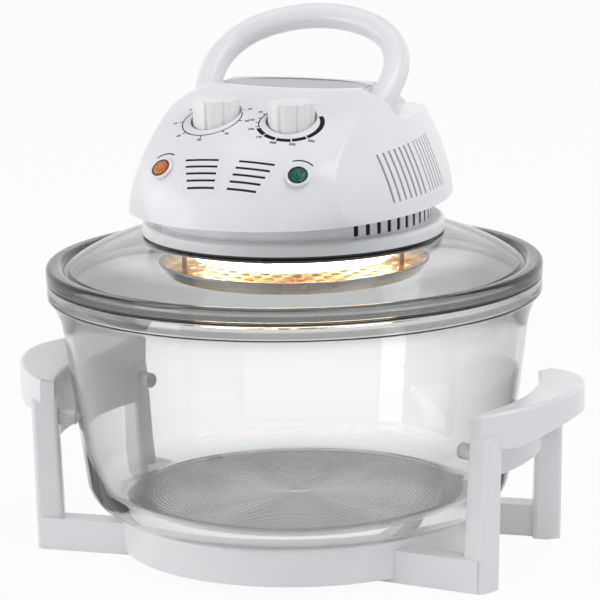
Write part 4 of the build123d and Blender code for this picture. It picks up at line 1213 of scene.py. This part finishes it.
@dataclass
class Studio:
    """Camera, lamps, background and floor."""

    lens: float = 191.64
    place: Place = (0.8065, -1.8853, 0.6006)
    bearing: float = 23.0675
    pitch: float = 12.0027
    roll: float = -1.0621
    floor_half: float = 3.0
    floor_glow: float = 0.94
    ambient: Colour = (0.50, 0.505, 0.52)
    ceiling: Colour = (0.22, 0.225, 0.23)
    ceiling_band: Point = (0.35, 0.75)
    lamps: tuple[Lamp, ...] = (
        Lamp("left", (-1.75, -0.85, 0.5), 1.6, 10.5, (1.0, 0.995, 0.985)),
        Lamp("right", (1.1, -0.3, 1.9), 1.4, 14.5, (0.98, 0.99, 1.0)),
        Lamp("top", (0.0, 0.3, 1.7), 1.4, 3.0),
        Lamp("low", (-0.95, -1.2, 0.12), 0.6, 3.4),
    )

    def build(self) -> None:
        """Makes everything that isn't the oven."""
        self.camera()
        self.world()
        for lamp in self.lamps:
            lamp.hang()
        self.floor()

    def camera(self) -> None:
        """Camera at the photograph's viewing angle."""
        theta, tip, roll = (math.radians(value) for value in (self.bearing, self.pitch, self.roll))
        forward = Vector((-math.sin(theta) * math.cos(tip), math.cos(theta) * math.cos(tip), -math.sin(tip)))
        right = Vector((math.cos(theta), math.sin(theta), 0.0))
        up = right.cross(forward)
        turned_right = right * math.cos(roll) + up * math.sin(roll)
        turned_up = up * math.cos(roll) - right * math.sin(roll)
        data = bpy.data.cameras.new("camera")
        data.lens = self.lens
        data.sensor_width = 36.0
        data.clip_start = 0.1
        data.clip_end = 50.0
        made = bpy.data.objects.new("camera", data)
        turn = Matrix((turned_right, turned_up, -forward)).transposed().to_4x4()
        made.matrix_world = Matrix.Translation(self.place) @ turn
        bpy.context.scene.collection.objects.link(made)
        bpy.context.scene.camera = made

    @staticmethod
    def seen(kit: Kit) -> Val:
        """1 where a camera, glossy or transmission ray looks, else 0.


        Returns:
            The number.
        """
        path = kit.add("ShaderNodeLightPath")
        camera, gloss, through = (
            Val(kit, path.outputs[f"Is {kind} Ray"]) for kind in ("Camera", "Glossy", "Transmission")
        )
        return (camera + gloss + through).clamp()

    def world(self) -> None:
        """Soft even light, seen as white low down and as a darker ceiling in glass and metal."""
        world = bpy.data.worlds.new("studio")
        world.use_nodes = True
        bpy.context.scene.world = world
        kit = Kit(world.node_tree)
        world.node_tree.nodes.clear()
        camera = Val(kit, kit.add("ShaderNodeLightPath").outputs["Is Camera Ray"])
        looking = kit.add("ShaderNodeTexCoord").outputs["Generated"]
        direction = kit.add("ShaderNodeSeparateXYZ", {}, {0: looking})
        ceiling = Val(kit, direction.outputs[2]).rise(*self.ceiling_band)
        seen = kit.mix(ceiling * (1.0 - camera), (1.0, 1.0, 1.0), self.ceiling)
        mixed = kit.mix(self.seen(kit), self.ambient, seen)
        background = kit.add("ShaderNodeBackground", {}, {0: mixed, 1: 1.0})
        kit.feed(kit.add("ShaderNodeOutputWorld").inputs[0], background.outputs[0])
        bpy.context.scene.view_settings.view_transform = "Standard"

    def floor(self) -> None:
        """Plain pale floor that keeps a soft shadow."""
        half = self.floor_half
        mesh = bpy.data.meshes.new("floor")
        corners = [(-half, -half, 0), (half, -half, 0), (half, half, 0), (-half, half, 0)]
        mesh.from_pydata(corners, [], [(0, 1, 2, 3)])
        shader = Shader("floor_paper")
        paper = shader.surface({"Base Color": (0.86, 0.86, 0.86), "Roughness": 0.9})
        light = shader.add("ShaderNodeEmission", {}, {"Color": (1.0, 1.0, 1.0), "Strength": 1.0})
        share = self.seen(shader) * self.floor_glow
        mixed = shader.add("ShaderNodeMixShader", {}, {0: share, 1: paper.outputs[0], 2: light.outputs[0]})
        shader.feed(shader.output.inputs["Surface"], mixed.outputs[0])
        mesh.materials.append(shader.material)
        made = bpy.data.objects.new("floor", mesh)
        bpy.context.scene.collection.objects.link(made)


# ---------------------------------------------------------------- sub-assemblies
def around(radius: float, angle: float, height: float) -> Vector:
    """The point at a radius and an angle in degrees round the upright axis."""
    return Vector((radius * math.cos(math.radians(angle)), radius * math.sin(math.radians(angle)), height))


def dress(table: dict[Finish, str]) -> None:
    """Gives CAD nodes their finishes; a space parts the names of a finish's nodes.

    Args:
        table: the nodes' names for each finish.
    """
    for finish, names in table.items():
        for node in names.split():
            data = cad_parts[node].data
            data.materials.clear()
            data.materials.append(finish.material())


@dataclass(frozen=True)
class Screw:
    """Pan head screw with a cross recess, head down, its seat at the origin; millimetres."""

    radius: float = 3.5
    height: float = 2.3
    shank: float = 1.85
    length: float = 11.3
    recess: float = 1.3
    recess_floor: float = 0.9
    recess_depth: float = 0.9

    def crossed(self, reach: float, level: float, angle: float) -> float:
        """Stretches the recess into a cross.

        Args:
            reach: radius on the plain profile.
            level: height on it.
            angle: angle round the screw, in degrees.

        Returns:
            The radius there.
        """
        if reach <= self.recess and level <= self.recess_depth - self.height:
            return reach * (1.0 + 0.7 * abs(math.cos(math.radians(2 * angle))) ** 6)
        return reach

    def mesh(self) -> bpy.types.Mesh:
        """The screw's mesh.

        Returns:
            The mesh, with outward faces.
        """
        radius, height, floor = self.radius, self.height, self.recess_depth - self.height
        profile = [
            (0.0, floor), (self.recess_floor, floor), (self.recess, -height), (radius * 0.6, -height),
            (radius * 0.92, -height * 0.7), (radius, -height * 0.3), (radius, 0.0), (self.shank, 0.0),
            (self.shank, self.length), (0.0, self.length),
        ]
        return lathe("screw", profile, 16, closed=False, shape=self.crossed)


@dataclass
class Stand:
    """Base ring, side frames, pads and feet."""

    screw_reach: float = 111.5
    screw_line: float = 61.8
    screw_turns: tuple[float, ...] = (20.0, 65.0, 110.0, 35.0)
    arm_top: float = 22.5
    seat_depth: float = 8.0

    def build(self) -> None:
        """Dresses the stand and adds its screws."""
        dress({
            Finishes.WHITE: "base_ring left_handle_frame right_handle_frame",
            Finishes.CLEAR_PAD: "bumper_pads glass_pads",
            Finishes.FOOT: "rubber_feet",
        })
        self.screws()

    def screws(self) -> None:
        """Four screws under the arms."""
        across, line = math.sqrt(self.screw_reach**2 - self.screw_line**2), self.screw_line
        seat = self.arm_top - self.seat_depth
        places = [Vector((x, y, seat)) for x in (-across, across) for y in (line, -line)]
        mesh = repeat_on_points("stand_screw_set", Screw().mesh(), places, self.screw_turns, Finishes.ZINC)
        made = piece("stand_screw_heads", mesh, Body.STAND)
        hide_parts("stand_screws")


@dataclass
class Bowl:
    """Glass bowl with a ridged floor."""

    floor_radius: float = 118.0
    corner: Point = (140.0, 52.0)
    neck: Point = (152.6, 151.0)
    flare: Point = (162.0, 173.0)
    rim_top: float = 183.2
    bottom: float = 30.3
    wall: float = 5.0
    rim_round: float = 1.4
    ridge_pitch: float = 3.0
    ridge_depth: float = 0.22
    plain_radius: float = 6.0

    def side(self, inset: float, bottom: float) -> list[Point]:
        """Profile of the wall from the floor's edge to the rim.

        Args:
            inset: how far it lies inside the outer wall.
            bottom: height of the floor below it.

        Returns:
            The points, upwards.
        """
        start = (self.floor_radius - inset, bottom)
        lower = (self.corner[0] - inset, self.corner[1] + inset * 0.1)
        upper = (self.neck[0] - inset, self.neck[1])
        rise = (upper[0] - lower[0], upper[1] - lower[1])
        points = [start, *tangent_arc(start, (1, 0), lower, 14)]
        points += [(lower[0] + rise[0] * step / 4, lower[1] + rise[1] * step / 4) for step in (1, 2, 3, 4)]
        return points + tangent_arc(upper, rise, (self.flare[0] - inset, self.flare[1]), 8)

    def rim(self) -> list[Point]:
        """Rounded rim from the outside to the inside.

        Returns:
            The points in order.
        """
        rounding, level = self.rim_round, self.rim_top - self.rim_round
        outer, inner = self.flare[0] - rounding, self.flare[0] - self.wall + rounding
        outside = arc_points((outer, level), rounding, 0, 90, 4)
        return outside + arc_points((inner, level), rounding, 90, 90, 4)

    def ridged_floor(self) -> list[Point]:
        """Floor profile with its ridges, from the edge to the middle.

        Returns:
            The points in order.
        """
        level, reach, spacing = self.bottom + self.wall, self.floor_radius - self.wall, self.ridge_pitch / 4
        points = []
        for step in range(1, int((reach - self.plain_radius) / spacing) + 1):
            sink = self.ridge_depth * (0.5 - 0.5 * math.cos(math.pi * step / 2))
            points.append((reach - step * spacing, level - sink))
        return [*points, (0.0, level)]

    def build(self) -> None:
        """Makes the bowl in place of the plain CAD one."""
        profile = [(0.0, self.bottom), *self.side(0.0, self.bottom), *self.rim()]
        profile += [*reversed(self.side(self.wall, self.bottom + self.wall)), *self.ridged_floor()]
        mesh = lathe("bowl_glass_body", profile, 128, closed=False)
        made = piece("bowl_glass_body", mesh, Body.BOWL, Finishes.BOWL_GLASS)
        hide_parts("glass_bowl")


@dataclass
class Lid:
    """Glass lid with a thick rim and a locating lip."""

    rim_radius: float = 162.5
    rim_top: float = 193.0
    rim_inner: float = 151.0
    bottom: float = 183.5
    seat: float = 211.5
    seat_radius: float = 98.6
    hole: float = 85.0
    wall: float = 4.0
    lip: float = 149.0
    lip_width: float = 3.5
    lip_bottom: float = 177.5
    shoulder: float = 2.5
    top_round: float = 3.0
    bottom_round: float = 1.2
    web: float = 4.0

    def build(self) -> None:
        """Makes the lid in place of the plain CAD one."""
        under, shoulder, web = self.seat - self.wall, self.rim_top - self.shoulder, self.bottom + self.web
        centre, inner = (self.seat_radius + self.rim_inner) / 2, self.lip - self.lip_width
        profile: list[Point] = [(self.hole, under), (self.hole, self.seat), (self.seat_radius, self.seat)]
        middle = (centre, (self.seat + shoulder) / 2 + 3.0)
        profile += three_point_arc(profile[-1], middle, (self.rim_inner, shoulder), 18)
        middle = (self.rim_inner + 2.5, self.rim_top - 0.6)
        profile += three_point_arc(profile[-1], middle, (self.rim_inner + 5.0, self.rim_top), 5)
        profile.append((self.rim_radius - self.top_round, self.rim_top))
        profile += tangent_arc(profile[-1], (1, 0), (self.rim_radius, self.rim_top - self.top_round), 6)
        profile.append((self.rim_radius, self.bottom + self.bottom_round))
        profile += tangent_arc(profile[-1], (0, -1), (self.rim_radius - self.bottom_round, self.bottom), 4)
        profile += [(self.lip, self.bottom), (self.lip, self.lip_bottom)]
        profile += [(inner, self.lip_bottom), (inner, web)]
        middle = (centre - 1.0, (under + web) / 2 + 2.2)
        profile += three_point_arc(profile[-1], middle, (self.seat_radius, under), 18)
        mesh = lathe("lid_glass_body", profile, 160)
        made = piece("lid_glass_body", mesh, Body.LID, Finishes.LID_GLASS)
        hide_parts("glass_lid")


@dataclass(frozen=True)
class Louvres:
    """A row of equal upright slots; millimetres."""

    first: float
    pitch: float
    width: float
    count: int


@dataclass
class Head:
    """White housing and collar with what is printed or raised on them."""

    vent_centre: Place = (0.0, -107.0, 266.0)
    vent_tilt: float = 46.0
    vent_top: Point = (4.6, 33.0)
    vent_bottom: Point = (2.1, 25.2)
    vent_half: float = 13.2
    vent_rows: int = 5
    vent_pitch: float = 5.1
    vent_slot: float = 1.7
    slot_inner: Point = (4.3, 6.8)
    slot_outer: Point = (23.4, 30.4)
    stand_off: float = 20.0
    frame_corner: float = 2.4
    frame_sink: float = 0.12
    frame_bead: float = 0.36
    louvres: tuple[Louvres, ...] = (Louvres(-50.0, 6.4, 2.2, 7), Louvres(-3.7, 5.2, 1.5, 6))
    louvre_heights: Point = (243.0, 273.0)
    louvre_slope: float = 0.04
    cheek_off: float = 130.0
    # Depth and thickness of the dark strips in the slots, which are painted shade.
    shade_sheet_depth: float = 0.35
    shade_sheet_thickness: float = 0.4
    collar_radius: float = 90.0
    collar_heights: Point = (221.6, 231.0)
    collar_slots: int = 12
    collar_pitch: float = 5.5
    collar_first: float = -41.0
    slot_shade_plate: Place = (0.5, 2.9, 0.3)
    slot_back: Place = (0.7, 3.24, 0.1)
    housing: BVHTree = field(init=False)

    def __post_init__(self) -> None:
        """Reads the housing's surface."""
        depsgraph = bpy.context.evaluated_depsgraph_get()
        self.housing = BVHTree.FromObject(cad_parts["upper_housing"], depsgraph)

    def build(self) -> None:
        """Dresses the head and adds its vent frames and the painted shade in its slots."""
        dress({
            Finishes.HOUSING: "upper_housing",
            Finishes.WHITE: "head_base carry_handle power_bezel heat_bezel",
            Finishes.GASKET: "lid_gasket lower_gasket",
            Finishes.GLAND: "cord_gland",
            Finishes.BRIGHT_STEEL: "handle_pins",
            Finishes.ZINC: "housing_screws reflector_screws",
        })
        for mirror in (-1, 1):
            self.vent_frame(mirror)
        self.shade_front_slots()
        self.shade_side_slots()
        self.shade_collar_slots()

    def vent_normal(self) -> Vector:
        """Direction that the front vents face."""
        tilt = math.radians(90 - self.vent_tilt)
        return Vector((0, -math.cos(tilt), math.sin(tilt)))

    def vent_frame(self, mirror: int) -> None:
        """Raised line round one group of vent slots.

        Args:
            mirror: -1 for the left group, 1 for the right one.
        """
        normal = self.vent_normal()
        panel = Panel(self.housing, Vector(self.vent_centre) + normal * self.stand_off, -normal)
        top, bottom, half = self.vent_top, self.vent_bottom, self.vent_half
        outline = ((bottom[0], -half), (bottom[1], -half), (top[1], half), (top[0], half))
        corners = [Vector((mirror * x, y, 0)) for x, y in outline]
        path = []
        for index, corner in enumerate(corners):
            before, after = corners[index - 1], corners[(index + 1) % 4]
            near = corner + (before - corner).normalized() * self.frame_corner
            far = corner + (after - corner).normalized() * self.frame_corner
            end = after + (corner - after).normalized() * self.frame_corner
            path += [near.lerp(corner, t).lerp(corner.lerp(far, t), t) for t in (0.0, 0.25, 0.5, 0.75, 1.0)]
            path += [far.lerp(end, step / 8) for step in range(1, 8)]
        dropped = [panel.drop(point.x * MM, point.y * MM, -self.frame_sink) / MM for point in path]
        name = "vent_frame_right" if mirror > 0 else "vent_frame_left"
        piece(name, bead(name, dropped, self.frame_bead), Body.LID, Finishes.WHITE)

    def skin(self, start: Vector, inward: Vector) -> Vector:
        """The outer surface under a point, in millimetres."""
        hit, _, _, _ = self.housing.ray_cast(start * MM, inward, 0.2)
        return hit / MM

    def slot_strip(
        self, starts: Sequence[Vector], inward: Vector, aside: Vector, half: Vector
    ) -> list[Vector]:
        """Thin dark strip in one slot, painted shade.

        Args:
            starts: points outside the housing, along the slot's middle line.
            inward: direction into the housing.
            aside: step from the middle line to the solid bar beside the slot.
            half: half the slot's width, as a vector.

        Returns:
            Its corners, four at each start.
        """
        points: list[Vector] = []
        for start in starts:
            middle = (self.skin(start + aside, inward) + self.skin(start - aside, inward)) / 2
            near = middle + inward * self.shade_sheet_depth
            far = near + inward * self.shade_sheet_thickness
            points += [near - half, near + half, far + half, far - half]
        return points

    @staticmethod
    def lay_shade_strips(name: str, strips: Sequence[list[Vector]], finish: Finish) -> None:
        """Makes one piece of many strips.

        Args:
            name: the piece's name.
            strips: the corners of each strip.
            finish: their finish.
        """
        points: list[Vector] = []
        faces: list[Face] = []
        for strip in strips:
            faces += [tuple(index + len(points) for index in face) for face in ring_faces(len(strip) // 4, 4)]
            points += strip
        piece(name, mesh_from(points, faces, name), Body.LID, finish)
        LOG.info("%s covers %d slots", name, len(strips))

    def shade_front_slots(self) -> None:
        """Dark strips in the front vents, painted shade."""
        normal = self.vent_normal()
        up = Vector((0, normal.z, -normal.y))
        aside, half = up * (self.vent_pitch / 2), up * (self.vent_slot / 2)
        strips = []
        for row in range(self.vent_rows):
            share = row / (self.vent_rows - 1)
            level = (row - (self.vent_rows - 1) / 2) * self.vent_pitch
            inner, outer = (low + (high - low) * share for low, high in (self.slot_inner, self.slot_outer))
            base = Vector(self.vent_centre) + normal * self.stand_off + up * level
            for mirror in (-1, 1):
                across = [mirror * (inner + (outer - inner) * step / 6) for step in range(7)]
                line = [base + Vector((x, 0, 0)) for x in across]
                strips.append(self.slot_strip(line, -normal, aside, half))
        self.lay_shade_strips("front_vent_gauze", strips, Finishes.SLOT_SHADE)

    def shade_side_slots(self) -> None:
        """Grey strips in the louvres of both cheeks, painted shade."""
        low, high = self.louvre_heights
        slots = [(row.first + row.pitch * step, row) for row in self.louvres for step in range(row.count)]
        strips = []
        for mirror in (-1, 1):
            for place, row in slots:
                top = high + self.louvre_slope * (place - self.louvres[0].first)
                levels = [low + (top - low) * step / 8 for step in range(9)]
                line = [Vector((mirror * self.cheek_off, place, level)) for level in levels]
                aside, half = Vector((0, row.pitch / 2, 0)), Vector((0, row.width / 2, 0))
                strips.append(self.slot_strip(line, Vector((-mirror, 0, 0)), aside, half))
        self.lay_shade_strips("side_louvre_gauze", strips, Finishes.GREY_SLOT_SHADE)

    def shade_collar_slots(self) -> None:
        """Dark round-ended plates in the collar's slots, painted shade, with white plates behind them."""
        low, high = self.collar_heights
        sheet, width, less = self.slot_shade_plate
        outline = arc_points((0.0, (high - low - less - width) / 2), width / 2, 0, 180, 16)
        outline += [(-x, -y) for x, y in outline]
        shade_plate = self.plate("slot_plate", outline, sheet)
        sheet, width, more = self.slot_back
        x, y = width / 2, (high - low + more) / 2
        back = self.plate("slot_back", [(-x, -y), (x, -y), (x, y), (-x, y)], sheet)
        angles = [self.collar_first + self.collar_pitch * step for step in range(self.collar_slots)]
        angles += [180.0 - angle for angle in angles]
        for name, part, depth, slot, finish in (
            ("collar_slot_gauze", shade_plate, 0.75, "gasket_silicone", Finishes.SLOT_SHADE),
            ("collar_slot_backs", back, 1.3, "white_plastic", Finishes.WHITE),
        ):
            places = [around(self.collar_radius - depth, angle, (low + high) / 2) for angle in angles]
            piece(name, repeat_on_points(name, part, places, angles, finish), Body.LID)

    @staticmethod
    def plate(name: str, outline: Sequence[Point], sheet: float) -> bpy.types.Mesh:
        """Upright plate of a thickness, across the X axis."""
        points = [(side * sheet / 2, x, y) for side in (-1, 1) for x, y in outline]
        return mesh_from(points, ring_faces(2, len(outline)), name)


@dataclass
class Dial:
    """Knob with its printed scale."""

    name: str
    centre_x: float
    body: Body
    node: str
    centre_y: float = -60.6
    bottom: float = 285.0
    height: float = 21.4
    radius: float = 15.0
    flutes: int = 8
    flute_depth: float = 1.35
    flute_half: float = 6.0
    flute_turn: float = 0.0
    shrink: float = 0.22
    rounding: float = 0.9
    squash: float = 0.9
    figure_radius: float = 24.6
    figure_size: float = 2.9

    def knob_shape(self, reach: float, _level: float, angle: float) -> float:
        """Radius of the fluted side at an angle.

        Args:
            reach: radius on the plain profile.
            _level: height on it, which makes no difference.
            angle: angle round the knob, in degrees.

        Returns:
            The radius there.
        """
        if reach < self.radius - 2.0:
            return reach
        pitch = 360.0 / self.flutes
        off = abs(math.remainder(angle - self.flute_turn, pitch))
        side = reach - self.shrink * (1.0 - (off / (pitch / 2)) ** 2)
        if off >= self.flute_half:
            return side
        return side - self.flute_depth * (0.5 + 0.5 * math.cos(math.pi * off / self.flute_half))

    def knob(self) -> None:
        """Fluted knob with a slightly crowned top."""
        bottom, top, radius = self.bottom, self.bottom + self.height, self.radius
        profile: list[Point] = [(0.0, bottom + 1.5), (radius - 3.0, bottom + 1.5), (radius - 2.6, bottom)]
        profile += [(radius, bottom), (radius - 0.05, bottom + 6.0)]
        corner = (radius - 0.1 - self.rounding, top - 0.5 - self.rounding)
        profile += arc_points(corner, self.rounding, 0, 90, 5)
        profile += [(radius - 3.0, top - 0.38), (radius * 0.5, top - 0.1), (0.0, top)]
        place = Matrix.Translation((self.centre_x, self.centre_y, 0.0))
        name = self.name + "_knob_body"
        mesh = lathe(name, profile, 144, closed=False, shape=self.knob_shape, frame_at=place)
        made = piece(name, mesh, self.body, Finishes.KNOB)
        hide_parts(self.node)

    def panel(self, head: Head) -> Panel:
        """The patch of the housing round the knob.

        Args:
            head: the head, whose housing carries the print.

        Returns:
            The patch, with its middle on the knob's axis.
        """
        above = Vector((self.centre_x, self.centre_y - 20.5, 320.0))
        patch = Panel(head.housing, above, Vector((0, 0, -1)))
        patch.centre_on(Vector((self.centre_x * MM, self.centre_y * MM, patch.origin.z)))
        return patch

    def lines(self) -> list[bpy.types.Mesh]:
        """Rings and ticks of the scale."""
        raise NotImplementedError

    def figures(self) -> list[tuple[str, float]]:
        """Figures of the scale with their angles."""
        raise NotImplementedError

    def build(self, head: Head) -> None:
        """Makes the knob and prints its scale.

        Args:
            head: the head, whose housing carries the print.
        """
        self.knob()
        patch = self.panel(head)
        marks = self.lines()
        for words, angle in self.figures():
            place = around(self.figure_radius, angle, 0.0)
            marks.append(lettering(words, self.figure_size, (place.x * 1.05, place.y)))
        for mesh in marks:
            mesh.transform(Matrix.Diagonal((1.0, self.squash, 1.0, 1.0)))
        name = self.name + "_scale"
        laid = joined(name, [patch.lay(mesh) for mesh in marks])
        piece(name, laid, Body.LID, Finishes.INK)


@dataclass
class TimerDial(Dial):
    """Timer scale: a thin ring with fine ticks."""

    ring: Point = (19.9, 0.7)
    start: float = -215.0
    sweep: float = 250.0
    numbers: int = 7

    def lines(self) -> list[bpy.types.Mesh]:
        """Rings and ticks of the scale.

        Returns:
            Flat meshes round the knob's middle.
        """
        return [
            flat_arc("timer_ring", *self.ring, self.start, -128.0),
            flat_arc("timer_ring_end", *self.ring, -4.0, self.start + self.sweep),
            marks_round("timer_ticks", 41, self.ring[0], (1.0, 0.75), -126.0, 120.0),
            marks_round("timer_long_ticks", self.numbers, 21.1, (2.6, 0.7), self.start, self.sweep),
        ]

    def figures(self) -> list[tuple[str, float]]:
        """Figures of the scale with their angles."""
        steps = self.numbers - 1
        return [(str(10 * step), self.start + self.sweep * step / steps) for step in range(self.numbers)]


@dataclass
class TemperatureDial(Dial):
    """Temperature scale: a thick ring in segments."""

    edges: tuple[float, ...] = (-150.0, -124.0, -98.0, -70.0, -42.0, 38.0)
    gap: float = 1.2

    def lines(self) -> list[bpy.types.Mesh]:
        """Rings and ticks of the scale.

        Returns:
            Flat meshes round the knob's middle.
        """
        spans = [(low + self.gap, high - self.gap) for low, high in zip(self.edges, self.edges[1:])]
        bands = [flat_arc("temperature_band", 20.6, 3.0, *span, 3.0) for span in spans]
        ticks = marks_round("temperature_ticks", 5, 20.9, (2.6, 0.7), -215.0, 60.0)
        return [*bands, flat_arc("temperature_ring", 20.0, 0.7, -215.0, -151.0), ticks]

    def figures(self) -> list[tuple[str, float]]:
        """Figures of the scale with their angles."""
        words = ("65", "125", "150", "175", "200", "225", "250")
        return list(zip(words, (-205.0, -178.0, *self.edges[:-1])))


@dataclass
class Indicator:
    """Domed lens, dark ring of painted shadow and printed arc of one lamp."""

    name: str
    mirror: int
    node: str
    colour: Colour
    deep: Colour
    slot: str
    radius: float = 6.0
    back: float = -8.0
    dome: Point = (0.9, 1.6)
    shadow_ring: Place = (5.95, 1.42, 0.34)
    place: Place = (46.4, -100.0, 266.0)
    facing: Place = (0.223, -0.687, 0.692)

    def frame_at(self) -> Matrix:
        """Place and direction of the lens axis, in millimetres.

        Returns:
            The lens's place, with its axis along Z.
        """
        normal = Vector((self.mirror * self.facing[0], self.facing[1], self.facing[2])).normalized()
        across = Vector((0, 0, 1)).cross(normal).normalized()
        up = normal.cross(across)
        origin = Vector((self.mirror * self.place[0], self.place[1], self.place[2]))
        return Matrix.Translation(origin) @ Matrix((across, up, normal)).transposed().to_4x4()

    def build(self, head: Head) -> None:
        """Makes the lens, the dark ring of painted shadow round it and its printed arc.

        Args:
            head: the head, whose housing carries the print.
        """
        place = self.frame_at()
        edge, bulge = self.dome
        turns = [math.pi / 2 * step / 8 for step in range(8)]
        dome = [(self.radius * math.cos(turn), edge + bulge * math.sin(turn)) for turn in turns]
        profile = [(0.0, self.back), (self.radius, self.back), *dome, (0.0, edge + bulge)]
        centre = tuple(place @ Vector((0, 0, 1.5)) * MM)
        finish = FacetedLens(self.name + "_lens_plastic", self.colour, self.deep, centre)
        mesh = lathe(self.name + "_lens_body", profile, 48, closed=False, frame_at=place)
        made = piece(self.name + "_lens_body", mesh, Body.LID, finish)
        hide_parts(self.node)
        # Painted shadow: a dark ring in the gap round the lens.
        ring = arc_points(self.shadow_ring[:2], self.shadow_ring[2], 0, 315, 7)
        mesh = lathe(self.name + "_lens_seal", ring, 56, frame_at=place)
        piece(self.name + "_lens_seal", mesh, Body.LID, Finishes.GASKET)
        normal = place.to_3x3() @ Vector((0, 0, 1))
        panel = Panel(head.housing, place @ Vector((0, 10.2, 20.0)), -normal)
        panel.centre_on(place.translation * MM)
        tilt = 2.0 * self.mirror
        mesh = panel.lay(flat_arc(self.name + "_arc", 12.0, 0.9, 58.0 - tilt, 124.0 - tilt))
        piece(self.name + "_arc", mesh, Body.LID, Finishes.INK)


@dataclass
class Heater:
    """Lamp ring, guard tray, its brackets and the reflector."""

    tray_radius: float = 88.4
    tray_rim_top: float = 191.0
    tray_floor: float = 182.8
    sheet: float = 1.2
    wire: float = 1.1
    hole_pitch: float = 13.0
    hole_margin: float = 9.0

    def build(self) -> None:
        """Dresses the heater and adds the tray's bead and its hole lips."""
        dress({
            Finishes.QUARTZ: "halogen_tube",
            Finishes.CERAMIC: "lamp_end_caps terminal_block",
            Finishes.GUARD: "guard_tray",
            Finishes.STRIP: "guard_strips",
            Finishes.PAINTED_GLOW_CLIP: "lamp_clips",
            Finishes.ZINC: "guard_screws",
            Finishes.REFLECTOR: "reflector_plate",
            Finishes.MICA: "insulation_disc",
        })
        self.tray_bead()
        self.hole_lips()

    def tray_bead(self) -> None:
        """Rolled edge of the guard tray."""
        centre = (self.tray_radius - self.wire, self.tray_rim_top - 0.2)
        mesh = lathe("tray_rolled_edge", arc_points(centre, self.wire, 0, 330, 11), 128)
        piece("tray_rolled_edge", mesh, Body.LID, Finishes.GUARD)

    def holes(self) -> list[Vector]:
        """Middles of the tray's holes, found in the CAD mesh.

        Returns:
            The middles, in millimetres.
        """
        tray = BVHTree.FromObject(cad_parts["guard_tray"], bpy.context.evaluated_depsgraph_get())
        across, along = self.hole_pitch * math.sqrt(3) / 2, self.hole_pitch
        top = self.tray_floor + self.sheet
        places = []
        for column in range(-8, 9):
            start = -0.25 * along if column % 2 == 0 else 0.25 * along
            for row in range(-8, 9):
                x, y = column * across, start + row * along
                hit, _, _, _ = tray.ray_cast(Vector((x, y, top + 5.0)) * MM, Vector((0, 0, -1)), 0.02)
                if hit is None and math.hypot(x, y) <= self.tray_radius - self.hole_margin:
                    places.append(Vector((x, y, top)))
        LOG.info("guard tray has %d holes", len(places))
        return places

    def hole_lips(self) -> None:
        """Raised lip round each hole of the tray."""
        places = self.holes()
        part = lathe("hole_lip", [(2.72, -0.1), (2.72, 0.3), (3.1, 0.5), (3.6, 0.3), (3.95, -0.1)], 14)
        mesh = repeat_on_points("tray_hole_lips", part, places, [0.0] * len(places), Finishes.LIP)
        piece("tray_hole_lips", mesh, Body.LID)


class Drive:
    """Motor, fans and control units inside the head."""

    def build(self) -> None:
        """Dresses what is inside the head."""
        dress({
            Finishes.BRIGHT_STEEL: "motor_shaft timer_shaft thermostat_shaft",
            Finishes.ZINC: "motor_bracket upper_bracket control_bracket fan_nut motor_screws",
            Finishes.COPPER: "stator_coil",
            Finishes.SWITCH: "safety_switch",
            Finishes.REFLECTOR: "cooling_fan convection_fan",
            Finishes.BRONZE: "lower_bearing upper_bearing",
            Finishes.IRON: "motor_stator motor_rotor",
            Finishes.HOLDER: "switch_cam timer_unit thermostat_unit",
        })


def main() -> None:
    """Builds the scene, one sub-assembly after another."""
    logging.basicConfig(level=logging.INFO, format="%(name)s %(message)s")
    Studio().build()
    Stand().build()
    Bowl().build()
    Lid().build()
    head = Head()
    head.build()
    TimerDial("timer", -25.9, Body.TIMER, "timer_knob", flute_turn=-47.4).build(head)
    TemperatureDial("temperature", 25.9, Body.TEMPERATURE, "temperature_knob", flute_turn=-53.4).build(head)
    Indicator("power", -1, "power_lens", (0.72, 0.22, 0.035), (0.16, 0.036, 0.005), "amber_lens").build(head)
    Indicator("heat", 1, "heat_lens", (0.0, 0.14, 0.085), (0.0, 0.02, 0.012), "green_lens").build(head)
    Heater().build()
    Drive().build()


if __name__ == "__main__":
    main()
